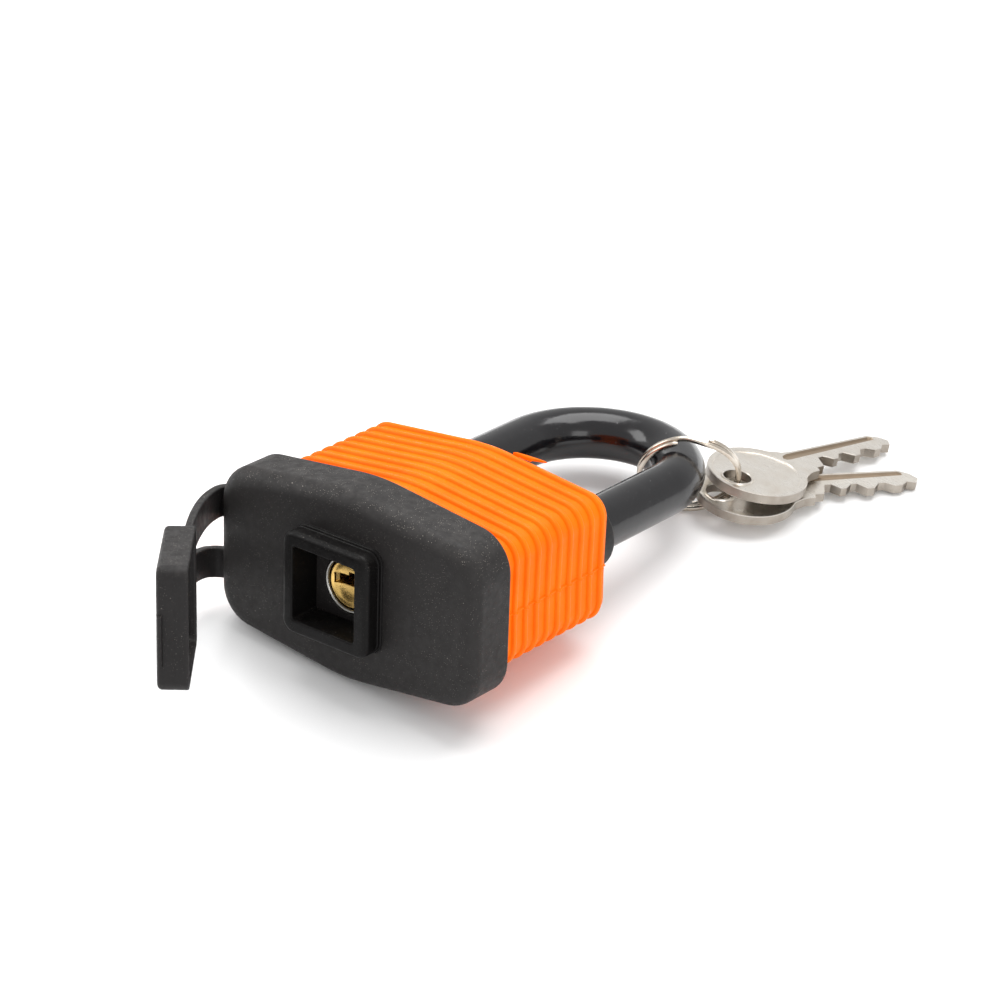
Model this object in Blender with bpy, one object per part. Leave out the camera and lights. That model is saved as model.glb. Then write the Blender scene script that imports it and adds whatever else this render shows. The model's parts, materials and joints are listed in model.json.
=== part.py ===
"""Weather-capped laminated padlock with two keys, built as separate named pieces.

Lengths in the constants are millimetres in the lock's own frame:
X across the body, Y from the keyway end towards the shackle, Z through the thickness.
LAY places that frame on the ground the way the lock lies, resting on one lower facet.
"""
import math

import bmesh
import bpy
from mathutils import Matrix, Vector
from mathutils.geometry import delaunay_2d_cdt

MM = 0.001

# ---------------------------------------------------------------- driving dimensions
# how the lock lies: slope of the resting facet across and along the lock, and its height
REST_SLOPE_X = 0.119
REST_SLOPE_Y = -0.1076
REST_HEIGHT = 20.34
ROW_SHIFT_X = -3.233
ROW_SHIFT_Y = -49.37

# weather cap on the keyway end
CAP_HALF_W = 30.98
CAP_RIDGE_H = 19.31
CAP_SIDE_H = 15.62
CAP_CORNER_R = 7.7
CAP_RIDGE_R = 40.0
CAP_RIM_Y = 10.96
CAP_FLOOR_Y = 3.9
CAP_STEP_Y = 5.0
PORT_CX = -0.5
PORT_HOLE_CX = -0.8
PORT_OUTER = 10.3
PORT_INNER = 7.45
PORT_PROUD = 4.3
PORT_FLOOR_Y = 2.5
PORT_FLANGE = 10.55
PORT_FLANGE_H = 0.35

# ribbed sleeve
SLEEVE_HALF_W = 28.5
SLEEVE_RIDGE_H = 15.82
SLEEVE_SIDE_H = 12.71
SLEEVE_CORNER_R = 4.8
SLEEVE_NECK_Y = 5.35
SLEEVE_RIB_Y0 = 11.3
SLEEVE_END_Y = 43.41
SLEEVE_WALL_Y = 41.5
RIB_COUNT = 10
RIB_DEPTH = 0.65

# laminated body
BODY_HALF_W = 25.4
BODY_RIDGE_H = 12.7
BODY_SIDE_H = 9.6
BODY_CORNER_R = 3.5
PLATE_COUNT = 9
PLATE_Y0 = 4.3
PLATE_T = 3.83
GAP = 0.3
RIVET_X = 9.8
RIVET_Z = 7.6
RIVET_R = 1.5
RIVET_HEAD_R = 2.4

# shackle
LEG_X = 17.4
BEND_Y = 75.5
BAR_R = 4.5
COAT_IN = 4.8
COAT_OUT = 5.3
COAT_Y0 = 42.0
SEAL_R = 7.5
SEAL_END_Y = 50.6
SEAL_HOLE_R = 7.8
LEG_HOLE_R = 4.82
TOE_END_Y = 25.3
HEEL_END_Y = 17.0
NOTCH_DEPTH = 1.2
NOTCH_Y0 = 33.2
NOTCH_Y1 = 37.3
RAMP_Y = 26.2
LIFT = 19.5

# cylinder and locking works
PLUG_R = 4.7
SHELL_BORE = 5.0
SHELL_NOSE_R = 5.64
SHELL_R = 6.3
SHELL_Y0 = 2.1
SHELL_Y1 = 24.3
BIBLE_HALF = 2.6
BIBLE_X = 11.0
PIN_R = 1.3
CHAMBER_R = 1.6
PIN_Y = (8.0, 12.0, 16.0, 20.0)
KEY_PIN_LEN = (3.2, 3.9, 3.4, 4.0)
DRIVER_LEN = 2.3
DOG_IN = 5.9
DOG_OUT = 13.7
DOG_Y0 = 33.5
DOG_Y1 = 36.7
CAM_A = 5.4
CAM_B = 2.3

# keyway flap and its straps
HINGE_X = -34.39
HINGE_Y = -2.53
HINGE_TILT_X = 0.027
HINGE_TILT_Y = 0.074
FLAP_OPEN_DEG = 50.35
FLAP_X0 = -12.2
FLAP_X1 = 11.2
FLAP_Z0 = -11.7
FLAP_Z1 = 11.9
FLAP_RIM_Y = -0.65
FLAP_BACK_Y = -6.4
FLAP_WALL = 1.0
TAB_Z0 = -6.4
TAB_Z1 = 3.0
TAB_OUT = 0.8
TAB_T = 1.0
STRAP_HALF = 3.1
STRAP_T = 1.6
UPPER_STRAP_PATH = ((-31.5, 4.75, 6.35), (-32.75, 4.55, 6.35), (-33.3, 3.4, 6.35), (-33.2, 1.8, 6.4), (-32.2, -1.4, 6.6),
                    (-30.2, -5.4, 6.9), (-27.6, -9.6, 7.2), (-24.9, -13.4, 7.5), (-22.6, -16.4, 7.7), (-20.75, -18.75, 7.8))
LOWER_STRAP_PATH = ((-31.5, 4.75, -6.6), (-33.0, 4.75, -6.8), (-34.3, 4.3, -6.9), (-35.2, 3.2, -6.8), (-35.6, 1.4, -6.5),
                    (-35.0, -2.0, -6.1), (-32.7, -6.8, -5.7), (-29.2, -11.4, -5.3), (-25.2, -15.6, -5.0), (-21.3, -19.3, -4.9))

# ring and keys, placed on the ground
RING_C = (13.93, 89.2, 10.5)
RING_N = (-0.599, 0.754, 0.27)
RING_R = 9.9
RING_WIRE_A = 0.5
RING_WIRE_R = 0.52
RING_STEP = 1.12
KEY_T = 2.1
KEY_LEN = 44.0
KEY_BACK = 4.6
KEY_HOLE_R = 2.85
KEY_A_HOLE = (20.5, 96.6, 8.4)
KEY_A_TIP = (29.2, 140.2, 1.35)
KEY_B_HOLE = (17.93, 94.97, 4.4)
KEY_B_TIP = (41.0, 131.6, 1.14)


# ---------------------------------------------------------------- scene and materials
for ob in list(bpy.data.objects):
    bpy.data.objects.remove(ob, do_unlink=True)

scene = bpy.context.scene
scene.unit_settings.system = "METRIC"
scene.unit_settings.scale_length = 1.0


def paint(name, rgb, metallic, rough):
    m = bpy.data.materials.new(name)
    m.use_nodes = True
    b = m.node_tree.nodes["Principled BSDF"]
    b.inputs["Base Color"].default_value = (rgb[0], rgb[1], rgb[2], 1.0)
    b.inputs["Metallic"].default_value = metallic
    b.inputs["Roughness"].default_value = rough
    m.diffuse_color = (rgb[0], rgb[1], rgb[2], 1.0)
    return m


RUBBER = ((0.035, 0.034, 0.036), 0.0, 0.62)
ORANGE = ((1.0, 0.27, 0.02), 0.0, 0.45)
COAT = ((0.02, 0.02, 0.022), 0.0, 0.28)
STEEL = ((0.45, 0.46, 0.48), 1.0, 0.42)
BRASS = ((0.72, 0.50, 0.20), 1.0, 0.32)
NICKEL = ((0.66, 0.63, 0.58), 1.0, 0.35)
SPRING = ((0.55, 0.56, 0.58), 1.0, 0.30)


# ---------------------------------------------------------------- placing on the ground
def lay_matrix():
    up = Vector((REST_SLOPE_X, REST_SLOPE_Y, 1.0)).normalized()
    ahead = (Vector((0, 1, 0)) - up * up.y).normalized()
    side = ahead.cross(up)
    rot = Matrix((side, ahead, up)).to_4x4()
    return Matrix.Translation((ROW_SHIFT_X * MM, ROW_SHIFT_Y * MM, REST_HEIGHT * MM)) @ rot


LAY = lay_matrix()
GROUND = Matrix.Translation((ROW_SHIFT_X * MM, ROW_SHIFT_Y * MM, 0))


def put(name, verts, faces, look, pivot=(0, 0, 0), frame=None, hidden=False):
    """Make one object. verts in mm in its frame; its origin goes to pivot."""
    p = Vector(pivot)
    mesh = bpy.data.meshes.new(name)
    mesh.from_pydata([tuple((Vector(v) - p) * MM) for v in verts], [], faces)
    bm = bmesh.new()
    bm.from_mesh(mesh)
    bmesh.ops.remove_doubles(bm, verts=bm.verts, dist=1e-6)
    bmesh.ops.recalc_face_normals(bm, faces=bm.faces)
    if bm.calc_volume(signed=True) < 0:
        bmesh.ops.reverse_faces(bm, faces=bm.faces)
    bm.to_mesh(mesh)
    bm.free()
    ob = bpy.data.objects.new(name, mesh)
    scene.collection.objects.link(ob)
    mesh.materials.append(paint(name + "_look", *look))
    ob.matrix_world = (LAY if frame is None else frame) @ Matrix.Translation(p * MM)
    if hidden:
        ob.hide_render = True
        ob.display_type = "WIRE"
    return ob


def cut(ob, cutter):
    m = ob.modifiers.new("cut", "BOOLEAN")
    m.operation = "DIFFERENCE"
    m.solver = "EXACT"
    m.object = cutter


# ---------------------------------------------------------------- outlines in the XZ plane
def rounded(points, radii, steps):
    out = []
    n = len(points)
    for i in range(n):
        p = Vector(points[i])
        a = Vector(points[i - 1])
        b = Vector(points[(i + 1) % n])
        u = (a - p).normalized()
        v = (b - p).normalized()
        ang = u.angle(v)
        r = radii[i]
        if r <= 0:
            out.append((p.x, p.y))
            continue
        t = r / math.tan(ang / 2)
        c = p + (u + v).normalized() * (r / math.sin(ang / 2))
        p0 = p + u * t - c
        p1 = p + v * t - c
        a0 = math.atan2(p0.y, p0.x)
        d = (math.atan2(p1.y, p1.x) - a0 + math.pi) % (2 * math.pi) - math.pi
        for k in range(steps + 1):
            th = a0 + d * k / steps
            out.append((c.x + r * math.cos(th), c.y + r * math.sin(th)))
    return out


def hexagon(a, h, s, r, rr, steps=4):
    """Flat sides, each broad face two facets meeting in a soft ridge."""
    return rounded([(0, h), (a, s), (a, -s), (0, -h), (-a, -s), (-a, s)], [rr, r, r, rr, r, r], steps)


def square(cx, half, r, steps=3):
    return rounded([(cx - half, half), (cx + half, half), (cx + half, -half), (cx - half, -half)], [r] * 4, steps)


def circle(cx, cz, r, n, turn=0.0):
    return [(cx + r * math.cos(turn + 2 * math.pi * k / n), cz + r * math.sin(turn + 2 * math.pi * k / n)) for k in range(n)]


def inside(pt, poly):
    x, y = pt
    hit = False
    n = len(poly)
    for i in range(n):
        x1, y1 = poly[i]
        x2, y2 = poly[(i + 1) % n]
        if (y1 > y) != (y2 > y) and x < (x2 - x1) * (y - y1) / (y2 - y1) + x1:
            hit = not hit
    return hit


class Skin:
    """Closed surface put together from loops."""

    def __init__(self):
        self.v = []
        self.f = []

    def loop(self, pts3):
        n = len(self.v)
        self.v.extend(pts3)
        return list(range(n, n + len(pts3)))

    def ring(self, outline, y):
        return self.loop([(x, y, z) for x, z in outline])

    def bridge(self, a, b):
        n = len(a)
        for i in range(n):
            j = (i + 1) % n
            self.f.append((a[i], a[j], b[j], b[i]))

    def fill(self, outer, holes=(), axes=(0, 2)):
        ids = list(outer)
        edges = [(i, (i + 1) % len(outer)) for i in range(len(outer))]
        for h in holes:
            n = len(ids)
            ids.extend(h)
            edges.extend((n + i, n + (i + 1) % len(h)) for i in range(len(h)))
        flat = [Vector((self.v[i][axes[0]], self.v[i][axes[1]])) for i in ids]
        vs, es, fs, ov, oe, of = delaunay_2d_cdt(flat, edges, [], 0, 1e-6)
        back = {}
        for k, src in enumerate(ov):
            if src:
                back[k] = ids[src[0]]
        out_poly = [(self.v[i][axes[0]], self.v[i][axes[1]]) for i in outer]
        hole_polys = [[(self.v[i][axes[0]], self.v[i][axes[1]]) for i in h] for h in holes]
        for f in fs:
            c = sum((vs[k] for k in f), Vector((0, 0))) / len(f)
            if inside(c, out_poly) and not any(inside(c, h) for h in hole_polys):
                self.f.append(tuple(back[k] for k in f))

    def put(self, name, look, **kw):
        return put(name, self.v, self.f, look, **kw)


def prism(name, outline, holes, y0, y1, look, **kw):
    s = Skin()
    a = s.ring(outline, y0)
    b = s.ring(outline, y1)
    s.bridge(a, b)
    ha, hb = [], []
    for h in holes:
        p = s.ring(h, y0)
        q = s.ring(h, y1)
        s.bridge(p, q)
        ha.append(p)
        hb.append(q)
    s.fill(a, ha)
    s.fill(b, hb)
    return s.put(name, look, **kw)


def sweep(verts, faces, sections, closed=False):
    """Join equal-count sections; cap the ends unless closed."""
    base = len(verts)
    n = len(sections[0])
    for sec in sections:
        verts.extend(tuple(p) for p in sec)
    m = len(sections)
    for i in range(m if closed else m - 1):
        a = base + i * n
        b = base + ((i + 1) % m) * n
        for k in range(n):
            j = (k + 1) % n
            faces.append((a + k, a + j, b + j, b + k))
    if not closed:
        faces.append(tuple(base + k for k in range(n))[::-1])
        faces.append(tuple(base + (m - 1) * n + k for k in range(n)))


def tube_sections(path, radius, n, up=(0, 0, 1)):
    pts = [Vector(p) for p in path]
    out = []
    for i, p in enumerate(pts):
        t = (pts[min(i + 1, len(pts) - 1)] - pts[max(i - 1, 0)]).normalized()
        b = Vector(up)
        b = (b - t * b.dot(t)).normalized()
        c = t.cross(b)
        r = radius[i] if isinstance(radius, (list, tuple)) else radius
        out.append([p + c * (r * math.cos(2 * math.pi * k / n)) + b * (r * math.sin(2 * math.pi * k / n)) for k in range(n)])
    return out


def lathe(name, profile, cx, cz, n, look, axis="Y", **kw):
    """Turn a profile of (radius, along) pairs; radius 0 at the ends closes it."""
    verts, faces, rows = [], [], []
    for r, a in profile:
        if r == 0:
            verts.append((cx, a, cz))
            rows.append([len(verts) - 1])
        else:
            rows.append(list(range(len(verts), len(verts) + n)))
            verts.extend((cx + r * math.cos(2 * math.pi * k / n), a, cz + r * math.sin(2 * math.pi * k / n)) for k in range(n))
    for p, q in zip(rows, rows[1:] + ([] if profile[0][0] == 0 else [rows[0]])):
        for k in range(n):
            j = (k + 1) % n
            if len(p) == 1:
                faces.append((p[0], q[k], q[j]))
            elif len(q) == 1:
                faces.append((p[k], p[j], q[0]))
            else:
                faces.append((p[k], p[j], q[j], q[k]))
    if axis == "X":
        verts = [(y, cx + (x - cx), z) for x, y, z in verts]
    return put(name, verts, faces, look, **kw)


# ---------------------------------------------------------------- weather cap
def cap_outline(inset=0.0):
    return hexagon(CAP_HALF_W - inset, CAP_RIDGE_H - inset, CAP_SIDE_H - inset, CAP_CORNER_R - inset, CAP_RIDGE_R, 5)


def build_cap():
    s = Skin()
    bore0 = s.ring(circle(0, 0, 5.98, 24), CAP_FLOOR_Y)
    bore1 = s.ring(circle(0, 0, 5.98, 24), PORT_FLOOR_Y)
    port1 = s.ring(square(PORT_HOLE_CX, PORT_INNER, 0.6), PORT_FLOOR_Y)
    port2 = s.ring(square(PORT_HOLE_CX, PORT_INNER, 0.6), -PORT_PROUD + 0.3)
    port2b = s.ring(square(PORT_HOLE_CX, PORT_INNER + 0.3, 0.8), -PORT_PROUD)
    boss1 = s.ring(square(PORT_CX, PORT_OUTER - 0.8, 2.1, 4), -PORT_PROUD)
    boss2 = s.ring(square(PORT_CX, PORT_OUTER, 2.9, 4), -PORT_PROUD + 0.8)
    boss3 = s.ring(square(PORT_CX, PORT_OUTER, 2.9, 4), -PORT_FLANGE_H)
    boss4 = s.ring(square(PORT_CX, PORT_FLANGE, 3.1, 4), -PORT_FLANGE_H)
    boss5 = s.ring(square(PORT_CX, PORT_FLANGE, 3.1, 4), 0.0)
    outer = [s.ring(cap_outline(i), y) for i, y in ((3.1, 0.0), (1.9, 0.22), (0.9, 0.9), (0.25, 1.95), (0.0, 3.1), (0.0, CAP_RIM_Y))]
    skirt0 = s.ring(hexagon(SLEEVE_HALF_W - 0.1, SLEEVE_RIDGE_H - 0.1, SLEEVE_SIDE_H - 0.1, 4.6, 20, 5), CAP_RIM_Y)
    skirt1 = s.ring(hexagon(SLEEVE_HALF_W - 0.1, SLEEVE_RIDGE_H - 0.1, SLEEVE_SIDE_H - 0.1, 4.6, 20, 5), CAP_STEP_Y)
    seat0 = s.ring(hexagon(BODY_HALF_W + GAP, BODY_RIDGE_H + GAP, BODY_SIDE_H + GAP, BODY_CORNER_R + GAP, 8, 5), CAP_STEP_Y)
    seat1 = s.ring(hexagon(BODY_HALF_W + GAP, BODY_RIDGE_H + GAP, BODY_SIDE_H + GAP, BODY_CORNER_R + GAP, 8, 5), CAP_FLOOR_Y)
    s.fill(seat1, [bore0])
    s.bridge(bore0, bore1)
    s.fill(port1, [bore1])
    s.bridge(port1, port2)
    s.bridge(port2, port2b)
    s.fill(boss1, [port2b])
    s.bridge(boss1, boss2)
    s.bridge(boss2, boss3)
    s.bridge(boss3, boss4)
    s.bridge(boss4, boss5)
    s.fill(outer[0], [boss5])
    for p, q in zip(outer, outer[1:]):
        s.bridge(p, q)
    s.bridge(outer[-1], skirt0)
    s.bridge(skirt0, skirt1)
    s.bridge(skirt1, seat0)
    s.bridge(seat0, seat1)
    return s.put("weather_cap", RUBBER)


build_cap()


# ---------------------------------------------------------------- ribbed sleeve
def sleeve_outline(inset, r=None):
    return hexagon(SLEEVE_HALF_W - inset, SLEEVE_RIDGE_H - inset, SLEEVE_SIDE_H - inset, (r or SLEEVE_CORNER_R) - inset, 20, 4)


def build_sleeve():
    s = Skin()
    rings = [s.ring(sleeve_outline(0.75), SLEEVE_NECK_Y), s.ring(sleeve_outline(0.75), SLEEVE_RIB_Y0 - 0.05)]
    pitch = (SLEEVE_END_Y - SLEEVE_RIB_Y0) / RIB_COUNT
    for i in range(RIB_COUNT):
        y = SLEEVE_RIB_Y0 + i * pitch
        for frac, inset in ((0.0, RIB_DEPTH), (0.28, 0.0), (0.62, 0.0), (0.88, RIB_DEPTH)):
            rings.append(s.ring(sleeve_outline(inset), y + frac * pitch + 0.02))
    rings.append(s.ring(sleeve_outline(RIB_DEPTH), SLEEVE_END_Y - 0.3))
    rings.append(s.ring(sleeve_outline(RIB_DEPTH + 0.35), SLEEVE_END_Y))
    for p, q in zip(rings, rings[1:]):
        s.bridge(p, q)
    body = hexagon(BODY_HALF_W + GAP, BODY_RIDGE_H + GAP, BODY_SIDE_H + GAP, BODY_CORNER_R + GAP, 8, 4)
    in0 = s.ring(body, SLEEVE_NECK_Y)
    in1 = s.ring(body, SLEEVE_WALL_Y)
    s.bridge(rings[0], in0)
    s.bridge(in0, in1)
    ha, hb = [], []
    for x in (-LEG_X, LEG_X):
        p = s.ring(circle(x, 0, SEAL_HOLE_R, 20), SLEEVE_WALL_Y)
        q = s.ring(circle(x, 0, SEAL_HOLE_R, 20), SLEEVE_END_Y)
        s.bridge(p, q)
        ha.append(p)
        hb.append(q)
    s.fill(in1, ha)
    s.fill(rings[-1], hb)
    return s.put("rib_sleeve", ORANGE)


build_sleeve()


# ---------------------------------------------------------------- shackle seals
def build_seal(name, x):
    prof = [(5.6, SLEEVE_WALL_Y), (SEAL_R, SLEEVE_WALL_Y), (SEAL_R, SEAL_END_Y - 0.8), (SEAL_R - 0.6, SEAL_END_Y), (5.6, SEAL_END_Y)]
    return lathe(name, prof, x, 0, 20, RUBBER)


build_seal("shackle_seal_left", -LEG_X)
build_seal("shackle_seal_right", LEG_X)


# ---------------------------------------------------------------- laminated body
def bible_outline(r, half, reach, n=18):
    """Round bore with the pin-stack lobe towards +X."""
    a0 = math.asin(half / r)
    pts = [(r * math.cos(a0 + (2 * math.pi - 2 * a0) * k / n), r * math.sin(a0 + (2 * math.pi - 2 * a0) * k / n)) for k in range(n + 1)]
    pts.append((reach, -half))
    pts.append((reach, half))
    return pts


def plate_outline():
    return hexagon(BODY_HALF_W, BODY_RIDGE_H, BODY_SIDE_H, BODY_CORNER_R, 8, 3)


def build_plates():
    last = PLATE_COUNT - 1
    for i in range(PLATE_COUNT):
        y0 = PLATE_Y0 + i * (PLATE_T + GAP)
        y1 = y0 + PLATE_T
        rr = RIVET_HEAD_R + GAP if i in (0, last) else RIVET_R + GAP
        holes = [circle(sx * RIVET_X, sz * RIVET_Z, rr, 8, math.pi / 8) for sx in (-1, 1) for sz in (-1, 1)]
        if i > 0:
            holes.append(circle(-LEG_X, 0, LEG_HOLE_R, 16))
        if y1 > TOE_END_Y:
            holes.append(circle(LEG_X, 0, LEG_HOLE_R, 16))
        if y0 < SHELL_Y1:
            holes.append(bible_outline(SHELL_R + GAP, BIBLE_HALF + GAP, BIBLE_X + GAP))
        elif i == 5:
            holes.append(circle(0, 0, 5.9, 16))
        elif i == 6:
            holes.append(circle(0, 0, 3.0, 12))
        elif i == 7:
            # slot for the locking dogs runs from leg hole to leg hole through the cam well
            z = 2.85
            x = LEG_X - math.sqrt(LEG_HOLE_R ** 2 - z ** 2)
            well = 5.75
            xw = math.sqrt(well ** 2 - z ** 2)
            a = math.atan2(z, xw)
            b = math.atan2(z, LEG_X - x)
            loop = []
            for k in range(7):
                t = a + (math.pi - 2 * a) * k / 6
                loop.append((well * math.cos(t), well * math.sin(t)))
            for k in range(13):
                t = -b - (2 * math.pi - 2 * b) * (k / 12) + 2 * math.pi
                t = b + (2 * math.pi - 2 * b) * k / 12
                loop.append((-LEG_X + LEG_HOLE_R * math.cos(t), LEG_HOLE_R * math.sin(t)))
            for k in range(7):
                t = math.pi + a + (math.pi - 2 * a) * k / 6
                loop.append((well * math.cos(t), well * math.sin(t)))
            for k in range(13):
                t = math.pi + b + (2 * math.pi - 2 * b) * k / 12
                loop.append((LEG_X + LEG_HOLE_R * math.cos(t), LEG_HOLE_R * math.sin(t)))
            holes = [circle(sx * RIVET_X, sz * RIVET_Z, rr, 8, math.pi / 8) for sx in (-1, 1) for sz in (-1, 1)] + [loop]
        name = "keyway_plate" if i == 0 else ("top_plate" if i == last else "lamination_%d" % i)
        prism(name, plate_outline(), holes, y0, y1, STEEL)


build_plates()

BODY_Y1 = PLATE_Y0 + PLATE_COUNT * PLATE_T + (PLATE_COUNT - 1) * GAP
for tag, sx, sz in (("a", -1, -1), ("b", 1, -1), ("c", 1, 1), ("d", -1, 1)):
    y0, y1 = PLATE_Y0 + 0.1, BODY_Y1 - 0.1
    lathe("body_rivet_" + tag, [(0, y0), (RIVET_HEAD_R, y0), (RIVET_HEAD_R, y0 + 2.9), (RIVET_R, y0 + 3.5),
                                (RIVET_R, y1 - 3.5), (RIVET_HEAD_R, y1 - 2.9), (RIVET_HEAD_R, y1), (0, y1)],
          sx * RIVET_X, sz * RIVET_Z, 8, STEEL)


# ---------------------------------------------------------------- cylinder shell, plug, pins
def build_shell():
    s = Skin()
    nose0 = s.ring(circle(0, 0, SHELL_NOSE_R, 24), SHELL_Y0)
    bore0 = s.ring(circle(0, 0, SHELL_BORE, 24), SHELL_Y0)
    bore1 = s.ring(circle(0, 0, SHELL_BORE, 24), SHELL_Y1)
    body1 = s.ring(bible_outline(SHELL_R, BIBLE_HALF, BIBLE_X), SHELL_Y1)
    body0 = s.ring(bible_outline(SHELL_R, BIBLE_HALF, BIBLE_X), 4.7)
    nose1 = s.ring(circle(0, 0, SHELL_NOSE_R, 24), 4.7)
    s.fill(nose0, [bore0])
    s.bridge(bore0, bore1)
    s.fill(body1, [bore1])
    s.bridge(body1, body0)
    s.fill(body0, [nose1])
    s.bridge(nose1, nose0)
    ob = s.put("cylinder_shell", STEEL)
    v, f = [], []
    for y in PIN_Y:
        sweep(v, f, [[(x, y + CHAMBER_R * math.cos(t * math.pi / 6), CHAMBER_R * math.sin(t * math.pi / 6)) for t in range(12)] for x in (3.0, 10.4)])
    cut(ob, put("cut_shell_chambers", v, f, STEEL, hidden=True))


build_shell()


def build_plug():
    ob = lathe("key_plug", [(0, 2.35), (4.3, 2.35), (PLUG_R, 2.7), (PLUG_R, SHELL_Y1 + 0.25), (2.0, SHELL_Y1 + 0.25),
                            (2.0, SHELL_Y1 + 1.9), (0, SHELL_Y1 + 1.9)], 0, 0, 24, BRASS)
    v, f = [], []
    # keyway, with the side ledge that makes it warded
    sec = [(-3.5, 0.55), (-3.5, -1.15), (0.4, -1.15), (0.4, -0.35), (3.3, -0.35), (3.3, 1.15), (-0.9, 1.15), (-0.9, 0.55)]
    sweep(v, f, [[(x, y, z + 0.6) for x, z in sec] for y in (1.0, 22.2)])
    cut(ob, put("cut_keyway", v, f, BRASS, hidden=True))
    v, f = [], []
    for y in PIN_Y:
        sweep(v, f, [[(x, y + CHAMBER_R * math.cos(t * math.pi / 6), CHAMBER_R * math.sin(t * math.pi / 6)) for t in range(12)] for x in (0.0, 6.0)])
    cut(ob, put("cut_plug_chambers", v, f, BRASS, hidden=True))


build_plug()


def rod_x(name, x0, x1, y, r, look, tip0=0.0, tip1=0.0, n=10, pivot=None):
    v, f = [], []
    prof = []
    if tip0:
        prof += [(x0, r - tip0), (x0 + tip0, r)]
    else:
        prof += [(x0, r)]
    if tip1:
        prof += [(x1 - tip1, r), (x1, r - tip1)]
    else:
        prof += [(x1, r)]
    sweep(v, f, [[(x, y + q * math.cos(2 * math.pi * t / n), q * math.sin(2 * math.pi * t / n)) for t in range(n)] for x, q in prof])
    return put(name, v, f, look, pivot=pivot or (x0, y, 0))


for i, y in enumerate(PIN_Y):
    tag = "_%d" % (i + 1)
    rod_x("key_pin" + tag, 4.45 - KEY_PIN_LEN[i], 4.45, y, PIN_R, BRASS, tip0=0.6, n=8)
    rod_x("driver_pin" + tag, 5.15, 5.15 + DRIVER_LEN, y, PIN_R, STEEL, n=8)


def coil_sections(p0, p1, radius, wire, turns, per_turn, n, u, w):
    """Helix from p0 to p1, wound round that line; u and w span its cross-section."""
    p0, p1, u, w = Vector(p0), Vector(p1), Vector(u), Vector(w)
    axis = (p1 - p0).normalized()
    out = []
    m = int(turns * per_turn)
    for i in range(m + 1):
        t = 2 * math.pi * i / per_turn
        c = p0 + (p1 - p0) * (i / m) + u * (radius * math.cos(t)) + w * (radius * math.sin(t))
        rad = (u * math.cos(t) + w * math.sin(t))
        out.append([c + rad * (wire * math.cos(2 * math.pi * k / n)) + axis * (wire * math.sin(2 * math.pi * k / n)) for k in range(n)])
    return out


for i, y in enumerate(PIN_Y):
    v, f = [], []
    sweep(v, f, coil_sections((8.05, y, 0), (9.8, y, 0), 0.95, 0.2, 3.0, 8, 4, (0, 1, 0), (0, 0, 1)))
    put("pin_spring_%d" % (i + 1), v, f, SPRING, pivot=(10.1, y, 0))

v, f = [], []
sweep(v, f, coil_sections((-LEG_X, 9.2, 0), (-LEG_X, HEEL_END_Y - 0.75, 0), 3.2, 0.42, 4.0, 12, 6, (1, 0, 0), (0, 0, 1)))
put("shackle_spring", v, f, SPRING, pivot=(-LEG_X, 8.7, 0))

# retaining clip in the groove behind the shell, and the cam that backs the dogs
s = Skin()
gap = 0.55
outer = [(4.9 * math.cos(gap + (2 * math.pi - 2 * gap) * k / 16), 4.9 * math.sin(gap + (2 * math.pi - 2 * gap) * k / 16)) for k in range(17)]
inner = [(2.35 * math.cos(gap + (2 * math.pi - 2 * gap) * k / 16), 2.35 * math.sin(gap + (2 * math.pi - 2 * gap) * k / 16)) for k in range(17)]
prism("retaining_clip", outer + inner[::-1], [], SHELL_Y1 + 0.6, SHELL_Y1 + 1.4, STEEL)


def build_cam():
    s = Skin()
    y_a, y_b = SHELL_Y1 + 2.2, DOG_Y0 + 0.1
    r = 2.4
    n = 20
    shaft0 = s.ring(circle(0, 0, r, n), y_a)
    shaft1 = s.ring(circle(0, 0, r, n), y_b)
    ell = [(CAM_A * math.cos(2 * math.pi * k / n), CAM_B * math.sin(2 * math.pi * k / n)) for k in range(n)]
    fit = [(x, z) if math.hypot(x, z) > 0 else (x, z) for x, z in ell]
    cam0 = s.ring(fit, y_b + 0.25)
    cam1 = s.ring(fit, DOG_Y1 - 0.1)
    s.fill(shaft0)
    s.bridge(shaft0, shaft1)
    s.bridge(shaft1, cam0)
    s.bridge(cam0, cam1)
    s.fill(cam1)
    s.put("locking_cam", STEEL)


build_cam()


def build_dog(name, side):
    h = 2.45
    pts = [(DOG_IN, -h), (DOG_OUT - 0.9, -h), (DOG_OUT, -h + 0.9), (DOG_OUT, h - 0.9), (DOG_OUT - 0.9, h), (DOG_IN, h)]
    prism(name, [(x * side, z) for x, z in pts], [], DOG_Y0, DOG_Y1, STEEL, pivot=(side * DOG_IN, 0.5 * (DOG_Y0 + DOG_Y1), 0))


build_dog("locking_dog_left", -1)
build_dog("locking_dog_right", 1)


# ---------------------------------------------------------------- shackle
def shackle_path(y_left, y_right, bend=20):
    pts = [(-LEG_X, y_left), (-LEG_X, BEND_Y)]
    for k in range(1, bend):
        t = math.pi * (1 - k / bend)
        pts.append((LEG_X * math.cos(t), BEND_Y + LEG_X * math.sin(t)))
    pts.append((LEG_X, BEND_Y))
    pts.append((LEG_X, y_right))
    return [(x, y, 0.0) for x, y in pts]


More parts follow.
